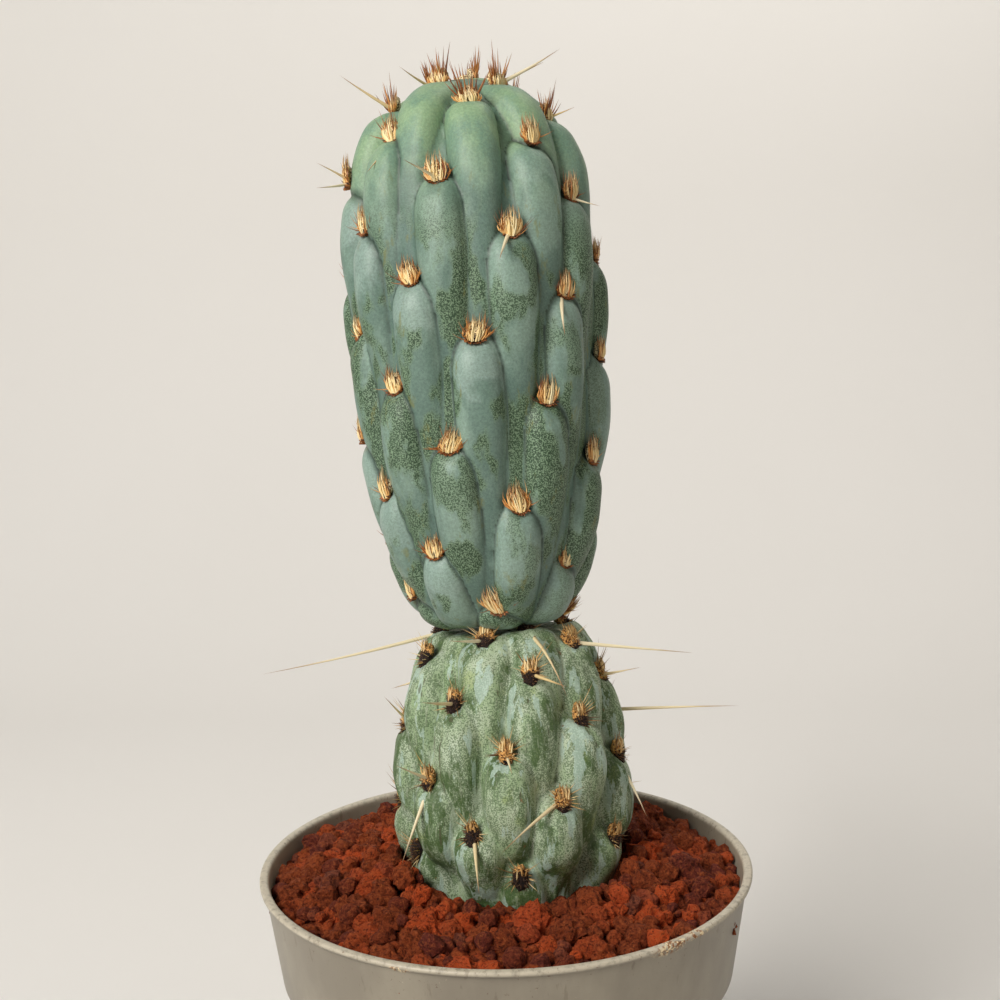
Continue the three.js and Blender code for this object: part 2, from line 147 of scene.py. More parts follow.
def add(tree, kind, *values, named=None, stops=None, output=None, **settings):
    """Adds a node and gives its output. Its inputs are filled in the editor's order or by
    name, each with a number, a hex colour or another node's output; stops fill a ramp."""
    made = tree.nodes.new("ShaderNode" + kind)
    for name, setting in settings.items():
        setattr(made, name, setting)
    fills = list(zip([socket for socket in made.inputs if socket.enabled], values))
    fills += [(made.inputs[name], value) for name, value in (named or {}).items()]
    for socket, value in fills:
        if isinstance(value, bpy.types.NodeSocket):
            tree.links.new(value, socket)
        else:
            socket.default_value = colour(value) if isinstance(value, str) else value
    if stops:
        ramp = made.color_ramp.elements
        while len(ramp) < len(stops):
            ramp.new(0.5)
        for element, (position, code) in zip(ramp, stops):
            element.position = position
            element.color = colour(code)
    return made.outputs[output] if output else next(s for s in made.outputs if s.enabled)


def new_material(name):
    """A material with a Principled shader, and coordinates in millimetres for its patterns."""
    material = bpy.data.materials.new(name)
    material.use_nodes = True
    tree = material.node_tree
    shader = tree.nodes["Principled BSDF"]
    place = add(tree, "TexCoord", output="Object")
    grid = add(tree, "VectorMath", place, [1 / MM] * 3, **TIMES)
    return material, tree, shader, grid


def patches(tree, grid, size, low, high, detail=2, rough=0.5, squeeze=(1, 1, 1), more=0):
    """Patches of a size in millimetres: 1 where noise is over high, and 0 where it is under
    low. More of it is added to the noise first, and a squeeze stretches the patches."""
    grid = add(tree, "VectorMath", grid, squeeze, **TIMES)
    field = add(tree, "TexNoise", grid, 1 / size, detail, rough)
    field = add(tree, "Math", field, more, **PLUS)
    return add(tree, "MapRange", field, low, high, **SMOOTH)


def coat(tree, base, patch, share, tint, blend="MIX"):
    """The base with a share of a second colour over it where there is a patch."""
    cover = add(tree, "Math", patch, share, **TIMES)
    return add(tree, "Mix", cover, base, tint, blend_type=blend, **COLOURS)


def show_nodes(material):
    """Prints how many nodes a finished material has, and gives it back."""
    print(f"{material.name}: {len(material.node_tree.nodes)} nodes")
    return material


print("mid grey in linear light:", round(colour("#808080")[0], 3))

# %% [markdown]
# ## The camera
# The photograph was taken from close by, slightly above the plant. A camera was fitted to the
# ellipse of the pot's lip and to the areoles: it stands 280 mm in front of the pot's axis. A
# longer lens from further away would draw the pot's back as large as its front.

# %% Camera
PHOTO_SIDE = 1000  # pixels
FOCAL_LENGTH = 1350  # pixels of the photograph
SENSOR = 36  # mm
CAMERA_PLACE = Vector((0.48, -280, 203.5)) * MM
LOOK_DOWN = math.radians(7.21)
ROLL = math.radians(-1.28)

camera_data = bpy.data.cameras.new("camera")
camera_data.lens = SENSOR * FOCAL_LENGTH / PHOTO_SIDE
camera_data.sensor_width = SENSOR
camera_data.clip_start = 0.01
camera = bpy.data.objects.new("camera", camera_data)
tilt = Matrix.Rotation(math.pi / 2 - LOOK_DOWN, 4, "X") @ Matrix.Rotation(ROLL, 4, "Z")
camera.matrix_world = Matrix.Translation(CAMERA_PLACE) @ tilt
scene.collection.objects.link(camera)
scene.camera = camera
print(f"lens {camera_data.lens:.1f} mm")

# %% [markdown]
# ## The stem segments
# A stem segment is a fleshy barrel covered with long tubercles. It could be sculpted by hand,
# but the plant follows a rule, and so does the mesh. Each segment is an outline turned round its
# axis. One spiral of areoles runs down from the crown, and a long tubercle hangs below each
# areole. The surface at any point is the highest of the tubercles that pass there, so sharp
# grooves form where two of them meet. Some areoles are nudged by 2 to 14 degrees round the
# axis, to where the photograph shows them. All lengths in this part are in millimetres, and an
# arc is a length along the outline from the crown.

# %% The two segments
OLD = {
    "outline": [
        (0, 51.3), (5, 51.3), (11.5, 51.3), (15.6, 50.2), (19, 46), (21.3, 40.4), (23.4, 34.6),
        (25, 28), (26, 20), (26.2, 11), (25.5, 5), (23.4, 0), (21, -5), (18.5, -11.5), (15, -21),
        (10.5, -32), (7.5, -44), (3, -58),
    ],
    "areoles": 34, "first_angle": 22.6, "divergence": 78.48,
    "crown_arc": 11, "first_arc": 4.1, "arc_step": 1.97, "arc_growth": 0, "slant": 2.5,
    "nudged": {4: 8, 9: 5, 13: 5, 15: -10, 18: 2, 22: 4, 23: -4, 26: 8, 27: -3, 32: -13},
    "seat_depth": 2.4, "rise": 6, "shoulder": 9,
    "tail_depth": 5, "tail_length": 12, "roundness": 0.045, "squareness": 0.0013,
    "groove_depth": 5.5, "creases": ((0.0, 1.0), (0.2, 1.6)),
    "plain_crown": (6, 42), "plain_base": (68, 84), "last_tuft": 69,
}
YOUNG = {
    "outline": [
        (0, 115.5), (7, 114.5), (14, 111), (19.8, 106.4), (24, 98.6), (26.5, 90.5), (28, 79.5),
        (28.3, 68), (27.5, 54), (26.9, 39), (25.4, 27.8), (23.1, 17.4), (20, 8.4), (16.6, 2.5),
        (12, 0.1), (6, 0),
    ],
    "areoles": 56, "first_angle": 94.5, "divergence": 78.35,
    "crown_arc": 0, "first_arc": 2.7, "arc_step": 2.08, "arc_growth": 0.0045, "slant": 1.5,
    "nudged": {
        4: -3, 8: 4, 9: -8, 13: 3, 16: 13, 18: -8, 21: 6, 23: -6, 25: 14, 27: -5, 31: -4, 36: -3,
        39: 8, 40: -5, 44: -6, 45: -4, 46: -7, 48: 13, 49: -8, 50: 3, 54: -3,
    },
    "seat_depth": 2.6, "rise": 7, "shoulder": 11,
    "tail_depth": 2.6, "tail_length": 14, "roundness": 0.04, "squareness": 0.0014,
    "groove_depth": 4.4, "creases": ((0.9, 0.9), (-0.4, 1.3)),
    "plain_crown": (4, 26), "plain_base": (126, 140), "last_tuft": 134,
}
SLANT_ARC = 30  # the whorls slant fully from here down
CROWN_RELIEF = 0.25  # share of the tubercles' height that is left at the crown
TAIL_DRIFT = (20, 0.03)  # from there down, a tail sinks by that much each millimetre
TAIL_END = 55
CREASE_FADE = (8, 30)  # below its areole a tubercle's sharp edge turns into a soft valley
VALLEY = 1.6  # a place less than that over a groove counts as in its valley
VALLEY_PASSES = 3  # of smoothing there
PIT_RADIUS = 2.3  # of the hollow that each areole sits in
PIT_DEPTH = 0.8
SPREAD = 0.3885  # times an areole's number, its fraction serves as a random number

OLD_PLACE = (
    Matrix.Translation((2.6, 0, 90))
    @ Matrix.Rotation(math.radians(-7), 4, "X")
    @ Matrix.Rotation(math.radians(-2.1), 4, "Y")
)
YOUNG_PLACE = (
    OLD_PLACE
    @ Matrix.Translation((-1.4, -2.4, 51.4))
    @ Matrix.Rotation(math.radians(2.3), 4, "X")
    @ Matrix.Rotation(math.radians(-0.5), 4, "Y")
)
print("areoles:", YOUNG["areoles"], "and", OLD["areoles"])

# %% Outline, spiral and relief
def smooth_outline(points, count):
    """A smooth curve through the points, as evenly spaced places of radius and height."""
    p = np.array([points[0], *points, points[-1]], float)
    share = np.linspace(0, 1, 24, endpoint=False)[:, None]
    parts = []
    for a, b, c, d in zip(p, p[1:], p[2:], p[3:]):
        leave, arrive = (c - a) / 2, (d - b) / 2
        cubic = (2 * b - 2 * c + leave + arrive) * share**3
        square = (3 * c - 3 * b - 2 * leave - arrive) * share**2
        parts.append(cubic + square + leave * share + b)
    fine = np.vstack([*parts, p[-1:]])
    arc = np.concatenate([[0], np.cumsum(np.linalg.norm(np.diff(fine, axis=0), axis=1))])
    even = np.linspace(0, arc[-1], count + 1)
    return even, np.stack([np.interp(even, arc, fine[:, k]) for k in (0, 1)], 1)


def find_areoles(segment):
    """Angle and arc of each areole of a segment, down the spiral."""
    number = np.arange(segment["areoles"])
    turn = segment["first_angle"] + segment["divergence"] * number
    for one, nudge in segment["nudged"].items():
        turn[one] += nudge
    angle = np.radians(turn)
    along = segment["first_arc"] + segment["arc_step"] * number + segment["arc_growth"] * number**2
    slant = segment["slant"] * np.sin(angle) * np.minimum(1, along / SLANT_ARC)
    return angle, np.hypot(segment["crown_arc"], along) + slant


def crest_height(segment, below):
    """Height of a tubercle's crest against the outline, at a distance below its areole."""
    head = segment["seat_depth"] * np.minimum(below / segment["rise"] - 1, 0) ** 2
    slide = np.maximum(below - segment["shoulder"], 0) / segment["tail_length"]
    tail = segment["tail_depth"] * (1 - np.exp(-(slide**2)))
    start, drift = TAIL_DRIFT
    sink = drift * np.maximum(below - start, 0) + np.maximum(below - TAIL_END, 0)
    return -head - tail - sink


def raise_tubercles(segment, angle, arc, radius):
    """Height of the surface, and what its colours follow: the distances below and beside the
    areole, the height over the nearest groove, and a random number of its own."""
    size = np.shape(angle)
    highest, second = np.full(size, -segment["groove_depth"]), np.full(size, -99.0)
    below, aside, own = np.full(size, 99.0), np.zeros(size), np.zeros(size)
    for number, (place, start) in enumerate(zip(*find_areoles(segment))):
        away = np.arctan2(np.sin(angle - place), np.cos(angle - place)) * radius
        flank = segment["roundness"] * away**2 + segment["squareness"] * away**4
        height = crest_height(segment, arc - start) - flank
        higher = height > highest
        second = np.where(higher, highest, np.maximum(second, height))
        below = np.where(higher, arc - start, below)
        aside = np.where(higher, away, aside)
        own = np.where(higher, number * SPREAD % 1, own)
        highest = np.where(higher, height, highest)
    groove = highest - second
    crown = CROWN_RELIEF + (1 - CROWN_RELIEF) * smoothstep(*segment["plain_crown"], arc)
    base = 1 - smoothstep(*segment["plain_base"], arc)
    (sharp, fine), (soft, wide) = segment["creases"]
    fade = smoothstep(*CREASE_FADE, below)
    cut = (1 - fade) * sharp * np.exp(-groove / fine) + fade * soft * np.exp(-groove / wide)
    marks = {"below": below, "aside": aside, "groove": groove, "own": own, "arc": arc}
    return (highest - cut) * crown * base, marks


length = smooth_outline(YOUNG["outline"], 1)[0][-1]
print(f"young outline: {length:.0f} mm, crest 20 mm down: {crest_height(YOUNG, 20.0):.1f} mm")

# %% [markdown]
# The body starts as one outline of edges that the spin operator turns into a closed skin. Then
# each corner moves along the outline's normal by the height of its tubercle. A displacement
# texture could do that too, but it would need a picture for each segment. The distances to the
# areole and to the groove stay on the mesh, so that the skin's colours can follow them.

# %% Make a segment's body
def outline_frame(segment, outline, even, arc):
    """Radius, height and outward normal of the outline at an arc."""
    slope = np.gradient(outline, even, axis=0)
    radius, height = (np.interp(arc, even, outline[:, k]) for k in (0, 1))
    run, drop = (np.interp(arc, even, slope[:, k]) for k in (0, 1))
    length = np.hypot(run, drop)
    return radius, height, -drop / length, run / length


def make_body(segment, rings, sides, wrinkle):
    """A segment's skin: its outline spun round, with tubercles, a hollow for each areole, and
    wrinkles."""
    even, outline = smooth_outline(segment["outline"], rings)
    bm = bmesh.new()
    corners = [bm.verts.new((0, -radius, height)) for radius, height in outline]
    corners.append(bm.verts.new((0, 0, outline[-1][1] - 0.01)))
    edges = [bm.edges.new(pair) for pair in zip(corners, corners[1:])]
    spin_round(bm, corners + edges, sides)
    mesh = to_mesh(bm)
    points = get_points(mesh)
    angle = np.arctan2(points[:, 0], -points[:, 1])
    arc = np.interp(-points[:, 2], -outline[:, 1], even)
    radius, height, out, up = outline_frame(segment, outline, even, arc)
    lift, marks = raise_tubercles(segment, angle, arc, radius)
    away = np.hypot(marks["below"] + 0.3, marks["aside"])
    lift = lift - PIT_DEPTH * np.exp(-((away / PIT_RADIUS) ** 4)) * (arc < segment["last_tuft"])
    lift = lift + wrinkle(angle, arc, radius)
    at_axis = np.hypot(points[:, 0], points[:, 1]) < 0.01
    spread = np.where(at_axis, 0, radius + out * lift)
    turned = [spread * np.sin(angle), -spread * np.cos(angle), height + up * lift]
    set_points(mesh, np.stack(turned, 1))
    for name, values in marks.items():
        set_attribute(mesh, name, values)
    # the valleys cross the mesh at a slant, so their corners are smoothed against teeth
    bm = bmesh.new()
    bm.from_mesh(mesh)
    valley = [vert for vert, over in zip(bm.verts, marks["groove"]) if over < VALLEY]
    for _ in range(VALLEY_PASSES):
        bmesh.ops.smooth_vert(bm, verts=valley, factor=0.5, use_axis_x=True, use_axis_y=True,
                              use_axis_z=True)
    return to_mesh(bm)


def young_wrinkle(angle, arc, radius):
    """The young skin is taut: only a slight waviness."""
    flat = np.stack([angle * radius, arc, radius * 0], 1)
    return 0.4 * noise_at(flat, (7, 16, 7), seed=1) * smoothstep(0, 12, radius)


def old_wrinkle(angle, arc, radius):
    """The old skin has shrunk: furrows run down it, a few millimetres apart."""
    flat = np.stack([np.sin(angle) * radius, -np.cos(angle) * radius, arc], 1)
    waves = noise_at(flat, (3.4, 3.4, 15), seed=2)
    fine = noise_at(flat, (1.5, 1.5, 8), seed=3)
    swell = noise_at(flat, (9, 9, 12), seed=4)
    return (0.5 * waves - 0.35 * np.abs(fine) + 0.5 * swell) * smoothstep(8, 16, radius)


YOUNG_GRID, OLD_GRID = (280, 330), (230, 340)  # rings and sides
young_skin_mesh = make_body(YOUNG, *YOUNG_GRID, young_wrinkle)
old_skin_mesh = make_body(OLD, *OLD_GRID, old_wrinkle)
print("corners:", len(young_skin_mesh.vertices), "and", len(old_skin_mesh.vertices))

# %% [markdown]
# ### The skin
# A cactus skin is a smooth green epidermis under a film of pale blue wax, the bloom. Where the
# bloom is worn the green shows as a fine stipple. The wax makes it matt with a soft shine, and
# a little light passes into the flesh below. A painted picture could hold all this, but noise
# needs no unwrapping, and the attributes of the mesh tell it where to go.

# %% Skin of the young segment
FLESH_REACH = (0.5, 1.0, 0.4)  # mm that red, green and blue light pass into the green flesh


def young_skin():
    """Waxy epidermis with its bloom: matt, soft and cool, with crisp dark grooves."""
    material, tree, shader, grid = new_material("waxy_epidermis_young")
    below, groove, arc, own = (
        add(tree, "Attribute", attribute_name=name, output="Fac")
        for name in ("below", "groove", "arc", "own")
    )
    grown = add(tree, "MapRange", arc, 26, 50, **SMOOTH)
    wobble = add(tree, "TexNoise", grid, 1 / 4, 3)
    depth = add(tree, "Math", wobble, 14, below, **TIMES_PLUS)
    depth = add(tree, "Math", depth, 7, **MINUS)
    # fresh growth is green with a fine pale speckle, grown skin has a blue bloom
    tint = patches(tree, grid, 7, 0.39, 0.62, detail=5, rough=0.6, squeeze=(1, 1, 0.5))
    speckle = patches(tree, grid, 0.35, 0.48, 0.64)
    fresh = add(tree, "Mix", tint, "#749781", "#8fae88", **COLOURS)
    fresh = coat(tree, fresh, speckle, 0.22, "#a9bd8c")
    bloom = add(tree, "Mix", tint, "#6b867a", "#88a294", **COLOURS)
    base = add(tree, "Mix", grown, fresh, bloom, **COLOURS)
    # the bloom is darker down the tubercle, and below some areoles it is a pale cap
    deep = add(tree, "MapRange", depth, 18, 32, **SMOOTH)
    base = coat(tree, base, deep, 0.6, "#4f6b62")
    cap_length = add(tree, "MapRange", own, 0, 1, 9, 23)
    past_cap = add(tree, "Math", depth, cap_length, **MINUS)
    cap = add(tree, "MapRange", past_cap, 2, -2, **SMOOTH)
    capped = add(tree, "MapRange", own, 0.62, 0.3, **SMOOTH)
    ridge = add(tree, "MapRange", groove, 0.2, 1.2, **SMOOTH)
    for share in (grown, capped, ridge):
        cap = add(tree, "Math", cap, share, **TIMES)
    base = coat(tree, base, cap, 0.6, "#9cb3aa")
    # where the bloom is worn, a green stipple
    more = add(tree, "Math", own, 0.16, **TIMES)
    worn = patches(tree, grid, 6, 0.53, 0.62, detail=3, squeeze=(1, 1, 0.5), more=more)
    old_enough = add(tree, "MapRange", arc, 38, 60, **SMOOTH)
    off_groove = add(tree, "MapRange", groove, 0.2, 0.7, **SMOOTH)
    off_cap = add(tree, "MapRange", cap, 0, 1, 1, 0.1)
    for share in (old_enough, off_groove, off_cap):
        worn = add(tree, "Math", worn, share, **TIMES)
    base = coat(tree, base, worn, 0.65, "#7c9670")
    more = add(tree, "Math", worn, 0.11, **TIMES)
    dots = patches(tree, grid, 0.26, 0.56, 0.63, detail=1.5, more=more)
    share = add(tree, "Math", grown, 0.15, **TIMES)
    share = add(tree, "Math", worn, 0.8, share, **TIMES_PLUS)
    stipple = add(tree, "Math", dots, share, **TIMES)
    base = coat(tree, base, stipple, 1, "#2a452c")
    grain = patches(tree, grid, 0.5, 0.3, 0.7, detail=3, rough=0.6)
    base = coat(tree, base, grain, 0.25, "#2d4034", "MULTIPLY")
    scurf = patches(tree, grid, 4, 0.6, 0.68, detail=5, rough=0.7, squeeze=(1, 1, 0.35))
    scurf = add(tree, "Math", scurf, grown, **TIMES)
    base = coat(tree, base, scurf, 0.55, "#757538")
    # painted shade and some dirt darken the grooves, most of all beside the tubercle's upper end
    shade = add(tree, "MapRange", groove, 1.3, 0, **SMOOTH)
    near = add(tree, "MapRange", below, 40, 10, 0, 0.85, **SMOOTH)
    base = coat(tree, base, shade, near, "#1c2e24")
    tree.links.new(base, shader.inputs["Base Color"])
    shader.inputs["Roughness"].default_value = 0.5
    shader.inputs["Subsurface Weight"].default_value = 0.05
    shader.inputs["Subsurface Radius"].default_value = FLESH_REACH
    shader.inputs["Subsurface Scale"].default_value = MM
    height = add(tree, "Math", speckle, 0.4, **TIMES)
    height = add(tree, "Math", height, stipple, **MINUS)
    bump = add(tree, "Bump", named={"Height": height, "Strength": 0.35, "Distance": 0.1 * MM})
    tree.links.new(bump, shader.inputs["Normal"])
    return material


young_wax = show_nodes(young_skin())

# %% [markdown]
# The old skin has weathered. Bloom is left in the valleys and in scraps on the ridges, and
# between them the bare epidermis is dark, stippled and cracked. The young skin with other
# numbers would not do, because these marks run down the furrows.

# %% Skin of the old segment
def old_skin():
    """Weathered epidermis: rougher and drier than the young one, so it shines less."""
    material, tree, shader, grid = new_material("waxy_epidermis_old")
    groove, arc = (
        add(tree, "Attribute", attribute_name=name, output="Fac") for name in ("groove", "arc")
    )
    ridge = add(tree, "MapRange", groove, 0.4, 2.2, **SMOOTH)
    tint = patches(tree, grid, 5, 0.38, 0.62, detail=6, rough=0.6, squeeze=(1, 1, 0.4))
    base = add(tree, "Mix", tint, "#8fa67e", "#adbda0", **COLOURS)
    # the bloom stays in the valleys, and in scraps on the ridges
    less = add(tree, "Math", ridge, -0.08, **TIMES)
    pale = patches(tree, grid, 5, 0.44, 0.58, detail=7, rough=0.65, squeeze=(1, 1, 0.45),
                   more=less)
    base = coat(tree, base, pale, 0.6, "#c0ccb8")
    # worn patches, more of them near the grit
    near_grit = add(tree, "MapRange", arc, 30, 56, 0, 0.03, **SMOOTH)
    more = add(tree, "Math", ridge, 0.03, near_grit, **TIMES_PLUS)
    tall = add(tree, "VectorMath", grid, (1, 1, 0.4), **TIMES)
    wear = add(tree, "TexNoise", tall, 1 / 5.4, 7, 0.68)
    wear = add(tree, "Math", wear, more, **PLUS)
    worn = add(tree, "MapRange", wear, 0.57, 0.62, **SMOOTH)
    base = coat(tree, base, worn, 0.9, "#4e6632")
    lime = patches(tree, grid, 5, 0.58, 0.68, detail=3, squeeze=(1, 1, 0.6))
    base = coat(tree, base, lime, 0.45, "#93a357")
    blue = patches(tree, grid, 5, 0.545, 0.575, detail=5, rough=0.6, squeeze=(1.6, 1.6, 0.35))
    share = add(tree, "Math", ridge, 0.85, **TIMES)
    base = coat(tree, base, blue, share, "#adc4b7")
    # stipple, fissures and scars
    crowd = add(tree, "MapRange", wear, 0.4, 0.6, 0, 0.15, **SMOOTH)
    dots = patches(tree, grid, 0.3, 0.55, 0.62, more=crowd)
    share = add(tree, "MapRange", blue, 0, 1, 0.72, 0.3)
    base = coat(tree, base, dots, share, "#3c572e")
    speckle = patches(tree, grid, 0.5, 0.56, 0.66)
    base = coat(tree, base, speckle, 0.12, "#c6d0bc")
    streak = patches(tree, grid, 0.9, 0.57, 0.67, detail=4, rough=0.6, squeeze=(1, 1, 0.16))
    base = coat(tree, base, streak, 0.25, "#c9d1bb")
    crack = patches(tree, grid, 1.6, 0.68, 0.71, squeeze=(1, 1, 0.06))
    base = coat(tree, base, crack, 0.7, "#4a4a30")
    scar = patches(tree, grid, 2.2, 0.72, 0.75, detail=3, squeeze=(1, 1, 0.6))
    base = coat(tree, base, scar, 0.8, "#7c5b33")
    # painted shade in the grooves
    shade = add(tree, "MapRange", groove, 0.9, 0, **SMOOTH)
    base = coat(tree, base, shade, 0.3, "#4e5f44")
    tree.links.new(base, shader.inputs["Base Color"])
    shader.inputs["Roughness"].default_value = 0.55
    shader.inputs["Subsurface Weight"].default_value = 0.03
    shader.inputs["Subsurface Radius"].default_value = FLESH_REACH
    shader.inputs["Subsurface Scale"].default_value = MM
    marks = add(tree, "Math", dots, 0.5, crack, **TIMES_PLUS)
    height = add(tree, "Math", streak, marks, **MINUS)
    bump = add(tree, "Bump", named={"Height": height, "Strength": 0.45, "Distance": 0.2 * MM})
    tree.links.new(bump, shader.inputs["Normal"])
    return material


old_wax = show_nodes(old_skin())

# %% Bodies
make_piece("stem_upper_body", young_skin_mesh, young_wax, "stem_upper", "stem_upper", YOUNG_PLACE)
make_piece("stem_lower_body", old_skin_mesh, old_wax, "stem_lower", "stem_lower", OLD_PLACE)

# %% [markdown]
# ## Areoles
# An areole is a small felt cushion from which barbed bristles and spines grow. Hair would be
# the quick way, but only a mesh can be exported. There are thousands of bristles, so one slender
# spike is modelled and an Array modifier repeats it. Every copy then gets its own root,
# direction, length and bend. The same way serves the felt cushions and, later, the grains.

# %% Repeat one shape
def copies(template, count):
    """A mesh that holds the template count times, one copy after another."""
    holder = bpy.data.objects.new("holder", template)
    scene.collection.objects.link(holder)
    array = holder.modifiers.new("copies", "ARRAY")
    array.count = count
    array.use_relative_offset = False
    depsgraph = bpy.context.evaluated_depsgraph_get()
    mesh = bpy.data.meshes.new_from_object(holder.evaluated_get(depsgraph))
    bpy.data.objects.remove(holder)
    return mesh


def scatter(template, frames, places):
    """Copies of the template, each turned and sized by its frame and moved to its place."""
    local = get_points(template)
    mesh = copies(template, len(places))
    moved = np.einsum("kij,nj->kni", frames, local) + places[:, None, :]
    set_points(mesh, moved.reshape(-1, 3))
    return mesh, local


def unit(vectors):
    """Each vector with a length of 1."""
    return vectors / np.linalg.norm(vectors, axis=-1, keepdims=True)


print("a way of length 1:", unit(np.array([3.0, 0, 4.0])))

# %% Spikes
SPIKE_BELLY = 0.9  # keeps a spike wide at first, so that it tapers towards the tip
ASKEW = [0.31, 0.52, 0.79]  # a direction that no spike has, to find one across it


def spike_template(sides, cuts):
    """A slender cone from z = 0 to z = 1 with a root radius of 1, cut into rings."""
    bm = bmesh.new()
    bmesh.ops.create_cone(bm, segments=sides, radius1=1, radius2=0, depth=1, cap_ends=False)
    bmesh.ops.translate(bm, verts=bm.verts, vec=(0, 0, 0.5))
    bmesh.ops.remove_doubles(bm, verts=bm.verts, dist=1e-5)
    for height in np.linspace(0, 1, cuts + 2)[1:-1]:
        bmesh.ops.bisect_plane(bm, geom=bm.verts[:] + bm.edges[:] + bm.faces[:],
                               plane_co=(0, 0, height), plane_no=(0, 0, 1))
    for vert in bm.verts:
        fuller = 1 + SPIKE_BELLY * vert.co.z * (1 - vert.co.z)
        vert.co.x *= fuller
        vert.co.y *= fuller
    return to_mesh(bm)


def make_spikes(spikes, sides=3, cuts=2):
    """Spikes as one mesh. Each runs from a root to a tip, bulges on the way, and has a radius
    at its root and a tone."""
    roots, tips, bulges, radii, tones = (np.array(column) for column in zip(*spikes))
    chords = tips - roots
    across = unit(np.cross(chords, ASKEW))
    over = unit(np.cross(chords, across))
    # a parabola that leaves the chord by its bulge halfway
    frames = np.stack([across * radii[:, None], over * radii[:, None], chords + 4 * bulges], 2)
    mesh, local = scatter(spike_template(sides, cuts), frames, roots)
    sag = 4 * bulges[:, None, :] * (local[:, 2] ** 2)[None, :, None]
    set_points(mesh, get_points(mesh) - sag.reshape(-1, 3))
    set_attribute(mesh, "along", np.tile(local[:, 2], len(roots)))
    set_attribute(mesh, "tone", np.repeat(tones, len(local)))
    return mesh


print("share of its root's radius halfway up a spike:", 0.5 * (1 + SPIKE_BELLY / 4))

# %% Seats of the areoles
OUTLINE_PARTS = 400


def make_seats(segment, lean, upright):
    """For each areole its place, and the directions to its side, up and out of its face. Near
    the crown, an upright share of 1 turns the face until its up direction points to the sky."""
    even, outline = smooth_outline(segment["outline"], OUTLINE_PARTS)
    angle, arc = find_areoles(segment)
    radius, height, out, up = outline_frame(segment, outline, even, arc)
    lift, _ = raise_tubercles(segment, angle, arc, radius)
    away = np.stack([np.sin(angle), -np.cos(angle), angle * 0], 1)
    rise = np.array([0, 0, 1])
    square = away * out[:, None] + rise * up[:, None]
    along = -away * up[:, None] + rise * out[:, None]
    face = unit(square + along * lean)
    side = unit(np.cross(along, face))
    top = np.cross(face, side)
    tilt = (np.maximum(np.arctan2(face[:, 2], top[:, 2]), 0) * upright)[:, None]
    face = face * np.cos(tilt) - top * np.sin(tilt)
    place = away * radius[:, None] + rise * height[:, None] + square * lift[:, None]
    return [
        {"place": p, "side": s, "up": np.cross(f, s), "face": f, "out": a, "arc": length}
        for p, s, f, a, length in zip(place, side, face, away, arc)
    ]


young_seats, old_seats = make_seats(YOUNG, 0.4, 0.85), make_seats(OLD, 0.3, 0.4)
print("seats:", len(young_seats), "and", len(old_seats))

# %% [markdown]
# Each seat carries a tuft of felt and bristles, except near the segment's foot. Tufts are
# smaller at the crown, where they are just forming, and next to the joint. The gold
# of the bristles differs from tuft to tuft and has weathered away near the grit.

# %% Tufts on the seats
CROWN_TUFT, FULL_TUFT_ARC = 0.85, 20
YOUNG_ARCS = (15, 35)  # a tuft turns from young to grown between these arcs
GOLD_RANGE = 1.0
DULLED, DULL_ARC = 0.6, 10  # near the grit the gold weathers away, over that arc
JOINT_TUFT, JOINT_ARC = 0.85, 13.5  # next to the joint, tufts are pressed small


def make_tufts(segment, seats, joint_arc, gold_from, dull_from=999):
    """The seats that carry a tuft, each with its scale, how young and how golden it is."""
    tufts = []
    for seat in seats:
        if seat["arc"] > segment["last_tuft"]:
            continue
        age = float(smoothstep(0, FULL_TUFT_ARC, seat["arc"]))
        scale = JOINT_TUFT if seat["arc"] < joint_arc else CROWN_TUFT + (1 - CROWN_TUFT) * age
        young = 1 - float(smoothstep(*YOUNG_ARCS, seat["arc"]))
        gold = gold_from + GOLD_RANGE * (len(tufts) * SPREAD % 1)
        gold -= DULLED * float(smoothstep(dull_from, dull_from + DULL_ARC, seat["arc"]))
        tufts.append({**seat, "scale": scale, "young": young, "gold": gold})
    return tufts


def on_tuft(tuft, aside, up, out):
    """A point of a tuft, by its distances from the areole in the tuft's own directions."""
    way = tuft["side"] * aside + tuft["up"] * up + tuft["face"] * out
    return tuft["place"] + way * tuft["scale"]


young_tufts = make_tufts(YOUNG, young_seats, 0, 0.4)
old_tufts = make_tufts(OLD, old_seats, JOINT_ARC, -0.3, 48)
print("tufts:", len(young_tufts), "and", len(old_tufts))

# %% [markdown]
# ### Felt
# The felt of an areole is matted plant wool, cream when fresh and brown when old. Strands as
# fine as that would only cost triangles, because the bristles cover most of them. A lumpy
# cushion with a fluffy, matt material gives the same soft edge. Its scale of 0.35 mm is a tuft
# of wool and not a single fibre.

# %% Felt cushions
def make_cushions(tufts, size, raised=0):
    """A small lumpy cushion for each tuft, fuller on a young one."""
    bm = bmesh.new()
    bmesh.ops.create_icosphere(bm, subdivisions=3, radius=1)
    template = to_mesh(bm)
    frames = np.array([np.stack([t["side"], t["up"], t["face"]], 1) * t["scale"] for t in tufts])
    frames[:, :, 0] *= np.array([1 + 0.4 * t["young"] for t in tufts])[:, None]
    places = np.array([on_tuft(t, 0, raised, 0) for t in tufts])
    mesh, local = scatter(template, frames * np.array(size), places)
    points = get_points(mesh)
    centres = np.repeat(places, len(local), axis=0)
    lumps = 1 + 0.2 * noise_at(points, 0.9, seed=5) + 0.1 * noise_at(points, 0.4, seed=6)
    set_points(mesh, centres + (points - centres) * lumps[:, None])
    gold = np.repeat([t["gold"] for t in tufts], len(local))
    set_attribute(mesh, "high", np.tile(local[:, 1], len(tufts)) + gold)
    return mesh


